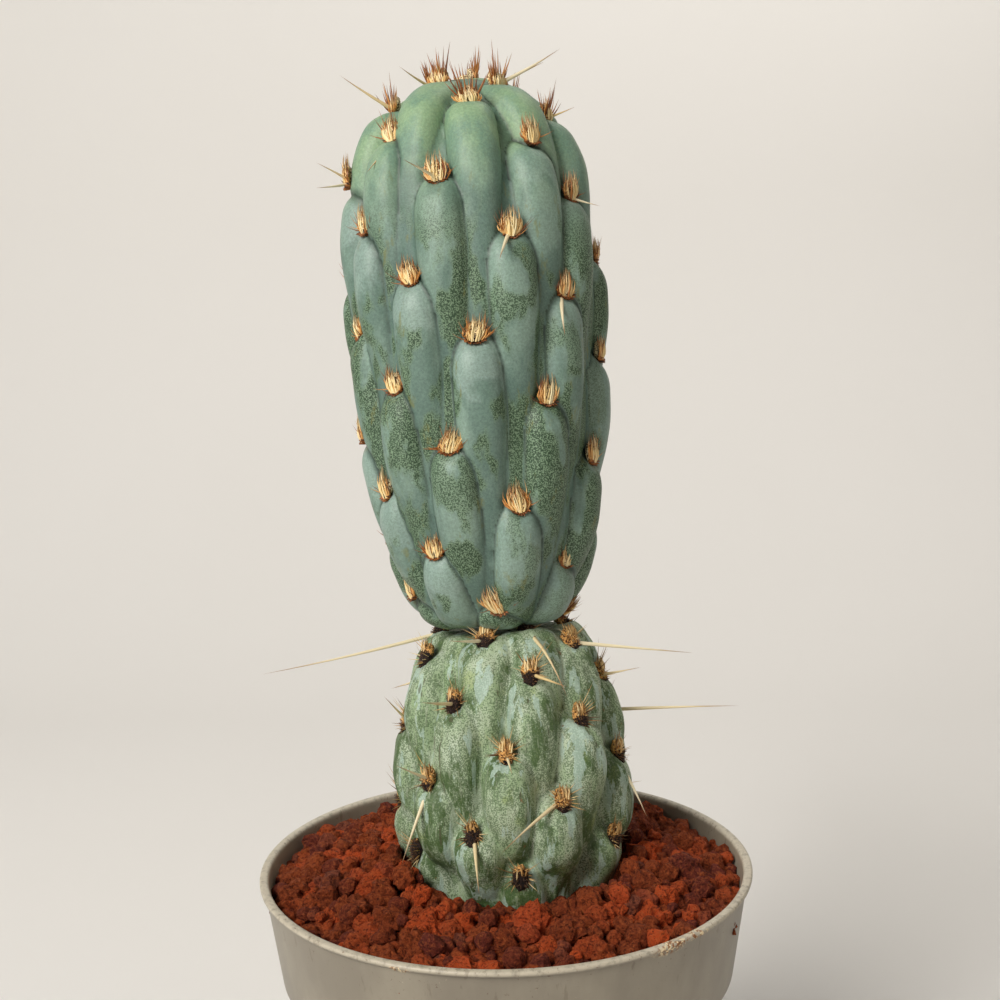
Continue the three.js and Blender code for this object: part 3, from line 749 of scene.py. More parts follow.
def felt(name, low, high):
    """Matted plant wool: soft and without shine, and darker at the lower edge, where dirt and
    shade collect."""
    material, tree, shader, grid = new_material(name)
    height = add(tree, "Attribute", attribute_name="high", output="Fac")
    fluff = add(tree, "TexNoise", grid, 1 / 0.35, 2)
    ragged = add(tree, "Math", height, fluff, **PLUS)
    upper = add(tree, "MapRange", ragged, 0.5, 0.85, **SMOOTH)
    base = add(tree, "Mix", upper, low, high, **COLOURS)
    # painted shade in the gaps between the tufts of wool
    wool_gap_shade = add(tree, "MapRange", fluff, 0.55, 0.4, **SMOOTH)
    base = coat(tree, base, wool_gap_shade, 1, "#5a3a20", "MULTIPLY")
    tree.links.new(base, shader.inputs["Base Color"])
    shader.inputs["Roughness"].default_value = 0.95
    bump = add(tree, "Bump", named={"Height": fluff, "Strength": 0.8, "Distance": 0.3 * MM})
    tree.links.new(bump, shader.inputs["Normal"])
    return material


young_cushions = make_cushions(young_tufts, (1.6, 2.3, 1.0), 0.9)
old_cushions = make_cushions(old_tufts, (1.55, 2.8, 1.25))
cream_felt = show_nodes(felt("wool_felt_cream", "#3a2112", "#f6e2b4"))
brown_felt = show_nodes(felt("wool_felt_brown", "#2a1811", "#d9a35e"))

# %% [markdown]
# ### Bristles
# Bristles and spines are horn-like: glossy, straw to brown, and darker towards the tip. A
# material for each tone would mean many materials. Instead each mesh stores a random tone for
# every spike and how far along it a corner lies, and one material reads both.

# %% Horn
def horn(name, tones, tip, tip_from, tip_share=1.0):
    """Bristle or spine: a colour by its tone, browner towards the tip."""
    material, tree, shader, _ = new_material(name)
    tone, along = (
        add(tree, "Attribute", attribute_name=name, output="Fac") for name in ("tone", "along")
    )
    base = add(tree, "ValToRGB", tone, stops=tones)
    at_tip = add(tree, "MapRange", along, tip_from, 1, **SMOOTH)
    base = coat(tree, base, at_tip, tip_share, tip)
    tree.links.new(base, shader.inputs["Base Color"])
    shader.inputs["Roughness"].default_value = 0.42
    shader.inputs["IOR"].default_value = 1.54
    return material


YOUNG_TONES = [(0.0, "#fdf0c4"), (0.3, "#f3d595"), (0.55, "#dd9f55"), (0.78, "#a3602c"),
               (1.0, "#38200f")]
OLD_TONES = [(0.0, "#f3e0ad"), (0.3, "#d3a765"), (0.6, "#7c5632"), (1.0, "#2c1d15")]
SPINE_TONES = [(0.0, "#efe4c2"), (1.0, "#d9bd83")]
spine_horn = show_nodes(horn("spine_horn", SPINE_TONES, "#8f5f35", 0.55))
young_horn = show_nodes(horn("bristle_horn_young", YOUNG_TONES, "#8a4a20", 0.5, 0.6))
old_horn = show_nodes(horn("bristle_horn_old", OLD_TONES, "#5a3a20", 0.5, 0.5))

# %% [markdown]
# On the young segment the bristles stand up like a flame: cream to golden strands with brown
# needles among them, a short brown rim below, and some that spread to the sides. Strands at
# random in a ball would look like fluff, so each kind is placed by its own rule. The seed is
# fixed, so every run grows the same plant.

# %% Bristles of the young segment
def grow(spikes, tuft, root, tip, bulge, radius, tone):
    """Adds a spike whose root, tip and bulge are given in the tuft's own directions: to its
    side, up and out."""
    bend = (on_tuft(tuft, *bulge) - tuft["place"]) if any(bulge) else np.zeros(3)
    spikes.append((on_tuft(tuft, *root), on_tuft(tuft, *tip), bend, radius, tone))


def young_bristles(tufts, rng):
    """A flame: strands that rise from the areole and close in, cream inside, brown outside."""
    spikes = []
    for t in tufts:
        wide = (1.12 + 0.25 * t["young"]) * rng.uniform(0.85, 1.12)
        lean, stretch = rng.normal(0, 0.7), rng.uniform(0.8, 1.15) * (1 - 0.4 * t["young"])
        # the strands of the flame, with u from its left edge to its right
        for u in np.linspace(-1, 1, 14).repeat(4):
            u = u + rng.uniform(-0.12, 0.12)
            front = rng.uniform(0, 1) * (1 - 0.6 * u * u)
            root = (1.4 * u * wide, -1.1 + 0.9 * (1 - front), 0.1 + 0.6 * front)
            top = (5.1 - 2.0 * u * u) * rng.uniform(0.45, 1.15) * stretch
            tip = (1.15 * u * wide + lean + rng.normal(0, 0.6), top, 0.5 + 1.1 * front)
            tone = 0.02 + 0.4 * u * u + rng.uniform(0, 0.28) + (0.45 if rng.uniform() < 0.1 else 0)
            grow(spikes, t, root, tip, (0.9 * u, 0, 0.5 * front), rng.uniform(0.17, 0.34), tone)
        # brown needles among them
        for _ in range(12):
            u = rng.uniform(-1, 1)
            tip = (1.7 * u * wide + lean, rng.uniform(3.0, 5.6), rng.uniform(0.2, 1.4))
            root = (1.3 * u * wide, -0.4, 0.1)
            grow(spikes, t, root, tip, (0.3 * u, 0, 0), 0.2, rng.uniform(0.5, 0.95))
        # a short brown rim along the lower edge
        for u in np.linspace(-1, 1, 16):
            root = (1.55 * u * wide, -0.5 - 0.7 * (1 - u * u), 0)
            tip = (1.9 * u * wide, -0.9 - 0.8 * (1 - u * u) + rng.uniform(-0.2, 0.5), 1.3)
            grow(spikes, t, root, tip, (0, 0, 0.1), 0.34, rng.uniform(0.7, 1.0))
        # bristles that spread to the sides, longer and stiffer on a young tuft
        for _ in range(int(15 - 3 * t["young"])):
            turn = rng.uniform(-1.6, 1.4) * (1 - 0.45 * t["young"])
            reach = rng.uniform(2.7, 5.2) * (1 + 0.65 * t["young"])
            root = (1.5 * math.sin(turn) * wide, rng.uniform(-1, 0.4), 0)
            tip = (math.sin(turn) * reach, math.cos(turn) * reach, reach * rng.uniform(0.2, 0.6))
            radius = 0.14 + 0.16 * t["young"]
            grow(spikes, t, root, tip, (0, -0.2, 0.1), radius, rng.uniform(0.6, 0.95))
    return spikes


bristle_rng = np.random.default_rng(7)
young_strands = young_bristles(young_tufts, bristle_rng)
print("young bristles:", len(young_strands))

# %% [markdown]
# On the old segment the gold has mostly worn off. Dark stubs cover the cushion like a brush, a
# few golden strands are left above them, and thin needles stick out at the top and the sides.

# %% Bristles of the old segment
def old_bristles(tufts, rng):
    """A dark brown brush with golden strands above and some longer, thin needles."""
    spikes = []
    for t in tufts:
        # stubs all over the cushion, at u to its side, v up and w out
        for _ in range(120):
            turn, spread = rng.uniform(0, 2 * math.pi), math.sqrt(rng.uniform(0, 1))
            u, v = math.cos(turn) * spread, math.sin(turn) * spread
            w = math.sqrt(max(0, 1 - spread * spread))
            reach = rng.uniform(0.5, 1.2)
            root = (1.45 * u, 2.6 * v, 1.0 * w - 0.2)
            tip = np.array(root) + reach * np.array([u, v * 0.8 + 0.15, w * 0.8 + 0.25])
            golden = v + t["gold"] > rng.uniform(0.0, 0.5)
            tone = rng.uniform(0.1, 0.5) if golden else rng.uniform(0.68, 1.0)
            jitter = rng.normal(0, 0.2, 3)
            grow(spikes, t, root, tuple(tip + jitter), (0, 0, 0), rng.uniform(0.15, 0.24), tone)
        # golden strands
        for _ in range(int(10 + 12 * t["gold"])):
            u = rng.uniform(-1, 1)
            root = (1.2 * u, rng.uniform(0.0, 1.0), 0.9)
            tip = (
                1.3 * u + rng.normal(0, 0.4), rng.uniform(2.8, 4.2) - u * u, rng.uniform(0.8, 1.8),
            )
            grow(spikes, t, root, tip, (0, 0, 0.4), 0.28, rng.uniform(0.05, 0.5))
        # thin needles
        for _ in range(17):
            turn = rng.uniform(-0.9, math.pi + 0.9)
            reach = rng.uniform(2.6, 4.6) + rng.uniform(0, 3) * max(0, math.sin(turn))
            root = (1.4 * math.cos(turn), 1.6 * math.sin(turn), 0)
            lift = reach * rng.uniform(0.2, 0.9)
            tip = (reach * math.cos(turn), reach * math.sin(turn), lift)
            grow(spikes, t, root, tip, (0, 0, 0.15), 0.13, rng.uniform(0.05, 0.7))
    return spikes


old_strands = old_bristles(old_tufts, bristle_rng)
print("old bristles:", len(old_strands))

# %% [markdown]
# ### Long spines
# The long spines are straw-coloured needles of up to 40 mm. A random fan would be easier, but
# each of them shows in the photograph, so those in view were measured there: for each the
# number of its areole in the spiral, and the way from there to its tip, to the right, to the
# back and up. One of them arches over the shoulder by the last number.

# %% Spines in view
OLD_SPINES = [
    (3, -39, -5, -7), (5, 26, 2, -4.5), (0, 7, -22, -12, 2.6), (4, -7, -10, 1), (9, 7, -10, -2),
    (10, 8.5, -5, 1.5), (13, -6, -10, 2), (15, 29, -7, 0), (17, -4, -7, 7), (18, 1, -8, -2.5),
    (19, 5, -6.5, -13), (22, -6, -9.5, -15), (22, -6, -8, 5),
    (23, -12.5, -14, -6), (27, 1, -11, -9),
]
YOUNG_SPINES = [
    (2, -6.5, -7, 3.5), (3, -0.6, -2.1, 3.6), (4, 14, 5.5, 8), (4, 10.4, 3.7, 5), (7, -10.5, -5, 7),
    (9, 6.2, -1.4, 1.7), (12, -5.5, -6, -8), (16, -6.1, -4.8, 3.6), (16, -6.3, -6.4, -1.8),
    (17, -6, -9, 2), (18, 6.1, -0.2, -2.5), (22, -2.6, -12.9, -6.9), (27, -1, -11, -9.5),
]
SPINE_RADIUS = 0.48
SPINE_SHARE, SPINE_FULL = 0.45, 28  # a short spine is thinner: share of the radius, and length
SPINE_ROOT = 0.8  # below the skin
BEND = 0.012  # random bend, as a share of the length
BACK_SPINES = {"facing": 0.35, "arcs": (19, 56), "chance": 0.6, "length": (9, 22)}


def add_spine(spikes, seat, way, rng, arch=0):
    """Adds a spine from a seat along a way, slightly bent at random."""
    length = np.linalg.norm(way)
    bulge = rng.normal(0, BEND, 3) * length + np.array([0, 0, arch])
    radius = SPINE_RADIUS * min(1, SPINE_SHARE + length / SPINE_FULL)
    root = seat["place"] - SPINE_ROOT * seat["face"]
    spikes.append((root, seat["place"] + way, bulge, radius, rng.uniform()))


def listed_spines(seats, listed, rng):
    """The spines of a list, each from the seat with its number."""
    spikes = []
    for number, right, back, up, *arch in listed:
        add_spine(spikes, seats[number], np.array([right, back, up], float), rng, *arch)
    return spikes


spine_rng = np.random.default_rng(9)
young_spines = listed_spines(young_seats, YOUNG_SPINES, spine_rng)
old_spines = listed_spines(old_seats, OLD_SPINES, spine_rng)
print("spines in view:", len(young_spines) + len(old_spines))

# %% [markdown]
# At the back of the old segment, which is not in view, the spines grow at random: out from the
# stem and a little down, from some of the areoles.

# %% Spines at the back
def back_spines(seats, rng):
    """Spines of the areoles at the back, out and down at random."""
    spikes = []
    for seat in seats:
        at_back = seat["out"][1] > BACK_SPINES["facing"]
        low, high = BACK_SPINES["arcs"]
        if not at_back or not low < seat["arc"] < high or rng.uniform() > BACK_SPINES["chance"]:
            continue
        way = seat["out"] + np.array([0, 0, rng.uniform(-0.7, 0)])
        way = way + seat["side"] * rng.uniform(-0.4, 0.4)
        add_spine(spikes, seat, unit(way) * rng.uniform(*BACK_SPINES["length"]), rng)
    return spikes


grown = back_spines(old_seats, spine_rng)
old_spines += grown
print("spines at the back:", len(grown))

# %% [markdown]
# Each segment gets three pieces that grow from its body: felt, bristles and spines. A spine has
# more sides and rings than a bristle, since it is thick enough to see its roundness and bend.

# %% Dress both segments
upper = ("stem_upper", "stem_upper", YOUNG_PLACE)
lower = ("stem_lower", "stem_lower", OLD_PLACE)
make_piece("stem_upper_felt", young_cushions, cream_felt, *upper)
make_piece("stem_upper_bristles", make_spikes(young_strands), young_horn, *upper)
make_piece("stem_lower_felt", old_cushions, brown_felt, *lower)
make_piece("stem_lower_bristles", make_spikes(old_strands), old_horn, *lower)
make_piece("stem_upper_spines", make_spikes(young_spines, 6, 7), spine_horn, *upper)
make_piece("stem_lower_spines", make_spikes(old_spines, 6, 7), spine_horn, *lower)

# %% [markdown]
# ## The pot
# A plastic nursery pot is moulded in one piece: a thin wall with a thicker lip, a collar, and a
# step below it. A cylinder with a Solidify modifier would miss the lip and the raised drain
# ring, so the whole profile is drawn once and spun round. The corners that run round it are
# bevelled, because moulded plastic has no sharp edge.

# %% Pot profile
POT_HEIGHT = 90
LIP_RADIUS, LIP_INNER, LIP_HEIGHT = 52.5, 50.8, 1.1
COLLAR_TOP, COLLAR_RADIUS, COLLAR_HEIGHT = 51.5, 48.4, 22
STEP_HEIGHT, BODY_RADIUS, BASE_RADIUS = 3.5, 45.8, 38.4
WALL, FLOOR = 1.1, 1.8
CHANNEL = {"inner": 14, "outer": 30, "rise": 1.5, "slope": 1.2}
DRAIN_HOLES, DRAIN_RADIUS = 8, 3.2
COLLAR_FOOT = POT_HEIGHT - COLLAR_HEIGHT
SHOULDER = COLLAR_FOOT - STEP_HEIGHT


def inner_radius(height):
    """Radius of the pot's inner wall at a height."""
    heights = (0, SHOULDER, COLLAR_FOOT, POT_HEIGHT - LIP_HEIGHT)
    radii = (BASE_RADIUS, BODY_RADIUS, COLLAR_RADIUS, COLLAR_TOP)
    return float(np.interp(height, heights, radii)) - WALL


def pot_profile():
    """Radius and height, from the middle of the underside out, up, over the lip and in."""
    near, far = CHANNEL["inner"], CHANNEL["outer"]
    rise, slope = CHANNEL["rise"], CHANNEL["slope"]
    ring = [(near - slope, 0), (near, rise), (far, rise), (far + slope, 0)]
    outside = [(BASE_RADIUS, 0), (BODY_RADIUS, SHOULDER), (COLLAR_RADIUS, COLLAR_FOOT),
               (COLLAR_TOP, POT_HEIGHT - LIP_HEIGHT)]
    lip = [(LIP_RADIUS, POT_HEIGHT - LIP_HEIGHT), (LIP_RADIUS, POT_HEIGHT), (LIP_INNER, POT_HEIGHT)]
    inside = [(inner_radius(z), z) for z in (POT_HEIGHT - LIP_HEIGHT, COLLAR_FOOT, SHOULDER, FLOOR)]
    floor = [(radius, height + FLOOR) for radius, height in reversed(ring)]
    return [(0, 0), *ring, *outside, *lip, *inside, *floor, (0, FLOOR)]


print("corners of the profile:", len(pot_profile()))

# %% Pot mesh
POT_SIDES = 144
CORNER_RADIUS = 0.45
SAME = 0.001  # corners closer than that in height and radius lie on one circle


def make_pot():
    """The profile spun round, with its round corners bevelled."""
    bm = bmesh.new()
    corners = [bm.verts.new((radius, 0, height)) for radius, height in pot_profile()]
    edges = [bm.edges.new(pair) for pair in zip(corners, corners[1:])]
    spin_round(bm, corners + edges, POT_SIDES)
    bmesh.ops.recalc_face_normals(bm, faces=bm.faces)
    around = [e for e in bm.edges if abs(e.verts[0].co.z - e.verts[1].co.z) < SAME
              and abs(e.verts[0].co.xy.length - e.verts[1].co.xy.length) < SAME]
    bmesh.ops.bevel(bm, geom=around, offset=CORNER_RADIUS, segments=3, profile=0.5, material=-1,
                    affect="EDGES", clamp_overlap=True)
    return to_mesh(bm)


def drill(mesh):
    """Cuts the drain holes through the raised ring."""
    bm = bmesh.new()
    place = (CHANNEL["inner"] + CHANNEL["outer"]) / 2
    for k in range(DRAIN_HOLES):
        turn = Matrix.Rotation((k + 0.5) / DRAIN_HOLES * 2 * math.pi, 4, "Z")
        bmesh.ops.create_cone(bm, cap_ends=True, segments=32, radius1=DRAIN_RADIUS,
                              radius2=DRAIN_RADIUS, depth=12,
                              matrix=turn @ Matrix.Translation((place, 0, 2)))
    pot = bpy.data.objects.new("pot_blank", mesh)
    drill_bit = bpy.data.objects.new("drill_bit", to_mesh(bm))
    for blank in (pot, drill_bit):
        scene.collection.objects.link(blank)
    cut = pot.modifiers.new("holes", "BOOLEAN")
    cut.operation, cut.solver, cut.object = "DIFFERENCE", "EXACT", drill_bit
    drilled = bpy.data.meshes.new_from_object(
        pot.evaluated_get(bpy.context.evaluated_depsgraph_get())
    )
    for blank in (pot, drill_bit):
        bpy.data.objects.remove(blank)
    return drilled


pot = drill(make_pot())
print("drain holes:", DRAIN_HOLES, "corners:", len(pot.vertices))

# %% [markdown]
# The plastic is grey polypropylene with a matt skin. Hard water has left a pale crust on the
# lip, and brown specks of grit and soil stick to the wall below it. Each kind of dirt gets its
# own patches, because one dirt texture would put them all in the same places. The mould's fine
# grain is drawn at 0.4 mm, coarser than it is, so that it shows.

# %% Pot plastic
CRUSTS = [((31, -42.4, 89.0), 6), ((36, -38.2, 89.3), 4), ((-20, -48.6, 88.8), 3)]
CRUST_SQUASH = 3  # a crust is that much wider than tall


def pot_plastic():
    """Moulded polypropylene: an even satin sheen under dust, specks and runs of dirt."""
    material, tree, shader, grid = new_material("grey_polypropylene")
    height = add(tree, "SeparateXYZ", grid, output="Z")
    cloud = patches(tree, grid, 18, 0.35, 0.65, detail=5, rough=0.6, squeeze=(1, 1, 0.5))
    base = add(tree, "Mix", cloud, "#847c6e", "#958d7d", **COLOURS)
    at_lip = add(tree, "MapRange", height, POT_HEIGHT - 1.0, POT_HEIGHT - 0.3, **SMOOTH)
    lime = patches(tree, grid, 1.6, 0.25, 0.55, detail=5, rough=0.7)
    base = coat(tree, base, lime, at_lip, "#c0b7a4")
    stain = patches(tree, grid, 1.2, 0.62, 0.68, detail=5, rough=0.7)
    share = add(tree, "Math", at_lip, 0.7, **TIMES)
    base = coat(tree, base, stain, share, "#6b4a30")
    # crumbs of lime and grit that cling under the lip, and dirt that ran down from them
    flat = add(tree, "VectorMath", grid, (1, 1, CRUST_SQUASH), **TIMES)
    crust = 0
    for (x, y, z), size in CRUSTS:
        middle = (x, y, CRUST_SQUASH * z)
        away = add(tree, "VectorMath", flat, middle, operation="DISTANCE")
        near = add(tree, "MapRange", away, size, 0.4 * size, **SMOOTH)
        crust = add(tree, "Math", crust, near, operation="MAXIMUM")
    crumbs = patches(tree, grid, 0.7, 0.45, 0.52, detail=4, rough=0.6)
    crust = add(tree, "Math", crust, crumbs, **TIMES)
    pale_crumbs = patches(tree, grid, 0.9, 0.45, 0.55)
    crumb_tint = add(tree, "Mix", pale_crumbs, "#8f5a30", "#f0dcb4", **COLOURS)
    base = coat(tree, base, crust, 1, crumb_tint)
    run = patches(tree, grid, 2.2, 0.62, 0.68, detail=4, rough=0.6, squeeze=(1, 1, 0.22))
    share = add(tree, "MapRange", height, POT_HEIGHT - 13, POT_HEIGHT - 3, 0, 0.35, **SMOOTH)
    base = coat(tree, base, run, share, "#54432f")
    level = add(tree, "MapRange", height, POT_HEIGHT - 14, POT_HEIGHT, 0.73, 0.65, **SMOOTH)
    speck = add(tree, "TexNoise", grid, 1 / 0.7, 4, 0.7)
    speck = add(tree, "Math", speck, level, operation="GREATER_THAN")
    base = coat(tree, base, speck, 0.75, "#5f4330")
    fleck = add(tree, "TexNoise", grid, 1 / 0.8, 3, 0.6)
    fleck = add(tree, "Math", fleck, 0.74, operation="GREATER_THAN")
    base = coat(tree, base, fleck, 0.6, "#dccfb4")
    tree.links.new(base, shader.inputs["Base Color"])
    rough = add(tree, "MapRange", crust, 0, 1, 0.42, 0.9)
    tree.links.new(rough, shader.inputs["Roughness"])
    grain = add(tree, "TexNoise", grid, 1 / 0.4, 2)
    relief = add(tree, "Math", grain, 0.15, crust, **TIMES_PLUS)
    relief = add(tree, "Math", speck, 1.5, relief, **TIMES_PLUS)
    bump = add(tree, "Bump", named={"Height": relief, "Strength": 0.5, "Distance": 0.2 * MM})
    tree.links.new(bump, shader.inputs["Normal"])
    return material


make_piece("pot_shell", pot, show_nodes(pot_plastic()), "pot", "pot")

# %% [markdown]
# ## Growing mix and lava grit
# The mix of peat and pumice under the dressing could be made of crumbs like the grit, but only
# the drain holes show it. So it keeps its plain solid and gets a crumbly material.

# %% Growing mix
PEAT_TONES = [(0.35, "#1e140e"), (0.55, "#46331f"), (0.72, "#8a775c")]


def soil():
    """Peat with bits of pumice: dark and matt, with crumbs of 2.5 mm."""
    material, tree, shader, grid = new_material("peat_and_pumice_mix")
    crumb = add(tree, "TexNoise", grid, 1 / 2.5, 5, 0.7)
    base = add(tree, "ValToRGB", crumb, stops=PEAT_TONES)
    tree.links.new(base, shader.inputs["Base Color"])
    shader.inputs["Roughness"].default_value = 0.95
    bump = add(tree, "Bump", named={"Height": crumb, "Strength": 1.0, "Distance": MM})
    tree.links.new(bump, shader.inputs["Normal"])
    return material


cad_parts["growing_mix"].material_slots[0].material = show_nodes(soil())

# %% [markdown]
# The grit is crushed red lava, rough and porous, in grains of 3 to 8 mm, heaped up to the stem.
# A physics simulation could pour it, but a simple rule is enough and always gives the same
# heap: grains drop one by one, each at the lowest of a few random places. A rough bed closes
# the gaps between them.

# %% Grit sizes and where it lies
GRIT_BOTTOM = 64.3
GRIT_AT_WALL, GRIT_AT_STEM = 88.3, 90.8
HEAP_RADIUS, HEAP_FOOT = 27, 47.5
SIDE_HEAP = 3.4
STEM_CENTRE = np.array([2.6, 0.5])
STEM_RADIUS = 24.6
BED_DEPTH = 3.5  # of the rough bed under the grit's surface
COARSE = {"count": 185, "radius": (2.1, 3.6), "faces": 3}
MEDIUM = {"count": 300, "radius": (1.3, 2.2), "faces": 2}
FINE = {"count": 600, "radius": (0.6, 1.2), "faces": 2}
MIXING = 1.6  # coarse grains mostly fall first, and the sizes mix by that much
TRIES = 14  # places that each grain tries
INNER_GRIT = 20.0  # no grain lies nearer to the pot's axis, where the stem is
NESTLE = 0.82  # lumpy grains lie that much closer than balls
NESTLE_WALL, NESTLE_STEM = 0.9, 0.75
SINK = 5.5  # the lowest grains lie that far below the heap's surface
PROUD = 1.8  # and no grain stands further out of it


def heap_height(x, y):
    """Height of the grit's surface, which lies higher at both sides of the stem."""
    radius = math.hypot(x, y)
    stem = GRIT_AT_STEM + SIDE_HEAP * abs(x) / radius
    return float(np.interp(radius, (HEAP_RADIUS, HEAP_FOOT), (stem, GRIT_AT_WALL)))


def pour_grit(rng):
    """Drops the grains one by one. Each tries some places and stays at the lowest."""
    sizes = [rng.uniform(*kind["radius"], kind["count"]) for kind in (COARSE, MEDIUM, FINE)]
    kinds = np.repeat([0, 1, 2], [len(s) for s in sizes])
    radii = np.concatenate(sizes)
    order = np.argsort(kinds + rng.uniform(0, MIXING, len(kinds)))
    grains = np.zeros((0, 5))
    for index in order:
        size = radii[index]
        best = None
        for _ in range(TRIES):
            angle = rng.uniform(0, 2 * math.pi)
            limit = inner_radius(GRIT_AT_WALL) - NESTLE_WALL * size
            away = math.sqrt(rng.uniform(INNER_GRIT**2, limit**2))
            x, y = math.cos(angle) * away, math.sin(angle) * away
            from_stem = math.hypot(x - STEM_CENTRE[0], y - STEM_CENTRE[1])
            if from_stem < STEM_RADIUS + NESTLE_STEM * size:
                continue
            z = heap_height(x, y) - SINK + 0.5 * size
            if len(grains):
                flat = np.hypot(grains[:, 0] - x, grains[:, 1] - y)
                reach = (grains[:, 3] + size) * NESTLE
                near = flat < reach
                if near.any():
                    over = np.sqrt(reach[near] ** 2 - flat[near] ** 2)
                    z = max(z, (grains[near, 2] + over).max())
            proud = z + size - heap_height(x, y)
            if best is None or proud < best[0]:
                best = (proud, x, y, z)
        if best and best[0] < PROUD:
            grains = np.vstack([grains, [*best[1:], size, kinds[index]]])
    return grains


grit_rng = np.random.default_rng(12)
grains = pour_grit(grit_rng)
print("grains:", len(grains), "highest", round(float((grains[:, 2] + grains[:, 3]).max()), 1))

# %% Grains
def turn_at_random(count, rng):
    """Random rotation matrices."""
    quaternions = unit(rng.normal(size=(count, 4)))
    w, x, y, z = quaternions.T
    return np.stack([
        np.stack([1 - 2 * (y * y + z * z), 2 * (x * y - z * w), 2 * (x * z + y * w)], 1),
        np.stack([2 * (x * y + z * w), 1 - 2 * (x * x + z * z), 2 * (y * z - x * w)], 1),
        np.stack([2 * (x * z - y * w), 2 * (y * z + x * w), 1 - 2 * (x * x + y * y)], 1),
    ], 1)


def make_grains(grains, subdivisions, rng):
    """Angular grains of few flat faces, each made lumpy by noise, with its own size, turn and
    tone."""
    bm = bmesh.new()
    bmesh.ops.create_icosphere(bm, subdivisions=subdivisions, radius=1)
    template = to_mesh(bm)
    stretch = rng.uniform(0.82, 1.12, (len(grains), 3))
    frames = turn_at_random(len(grains), rng) * (stretch * grains[:, 3:4])[:, None, :]
    places = grains[:, :3]
    mesh, local = scatter(template, frames, places)
    points = get_points(mesh)
    centres = np.repeat(places, len(local), axis=0)
    sizes = np.repeat(grains[:, 3], len(local))
    # every grain samples the noise elsewhere, so that no two are alike
    shifted = points + np.repeat(rng.uniform(0, 500, (len(grains), 3)), len(local), axis=0)
    lumps = 0.8 + 0.7 * np.abs(noise_at(shifted, 2.4)) + 0.5 * np.abs(noise_at(shifted, 1.2))
    lumps += 0.25 * np.abs(noise_at(shifted, 0.6))
    set_points(mesh, centres + (points - centres) * lumps[:, None])
    set_attribute(mesh, "tone", np.repeat(rng.uniform(0, 1, len(grains)), len(local)))
    set_attribute(mesh, "knob", lumps)
    return mesh


print("a random turn:", np.round(turn_at_random(1, np.random.default_rng(0))[0, 0], 2))

# %% Bed
BED_GAP = 0.3  # to the pot's wall
BED_HOLE, BED_LIP = 14, 20  # inner radius at the bottom, round the root stock, and at the top
BED_SIDES = 360


def make_bed():
    """What lies under the top grains: a ring from the wall to the stem, slightly rough."""
    top, edge = GRIT_AT_STEM - BED_DEPTH, GRIT_AT_WALL - BED_DEPTH
    foot, bend, rim = (inner_radius(z) - BED_GAP for z in (GRIT_BOTTOM, COLLAR_FOOT, edge))
    # each corner's radius and height, and the number of parts from there to the next
    corners = [
        (BED_HOLE, GRIT_BOTTOM + 4, 3), (foot, GRIT_BOTTOM, 3), (bend, COLLAR_FOOT, 8),
        (rim, edge, 70), (HEAP_RADIUS, top, 22), (BED_LIP, top, 5),
    ]
    profile = []
    for (radius, height, parts), (far, up, _) in zip(corners, corners[1:] + corners[:1]):
        shares = np.arange(parts) / parts
        profile += [(radius + (far - radius) * s, height + (up - height) * s) for s in shares]
    bm = bmesh.new()
    verts = [bm.verts.new((radius, 0, height)) for radius, height in profile]
    edges = [bm.edges.new(pair) for pair in zip(verts, verts[1:] + verts[:1])]
    spin_round(bm, verts + edges, BED_SIDES)
    mesh = to_mesh(bm)
    points = get_points(mesh)
    crumbs = 2.4 * np.abs(noise_at(points, 3.2, seed=8))
    crumbs = crumbs + 1.3 * np.abs(noise_at(points, 1.4, seed=9))
    crumbs += 0.4 * noise_at(points, 0.9, seed=10)
    points[:, 2] += np.where(points[:, 2] > edge - 0.1, crumbs, 0)
    set_points(mesh, points)
    set_attribute(mesh, "tone", 0.5 + 0.8 * noise_at(points, 5, seed=11))
    set_attribute(mesh, "knob", 0.8 + 0.2 * crumbs)
    return mesh


bed = make_bed()
print("corners of the bed:", len(bed.vertices))

# %% [markdown]
# Each grain has one tone, since stones from a heap differ more from each other than within
# themselves. A painted highlight on the raised crumbs, and painted shade in the low crumbs, the
# pores and the hollows, keep the stone from looking like painted clay.

# %% Lava
LAVA_TONES = [(0.0, "#823b2e"), (0.25, "#984524"), (0.5, "#ac5129"), (0.7, "#c2562c"),
              (0.88, "#e8602c"), (1.0, "#8a4d3b")]


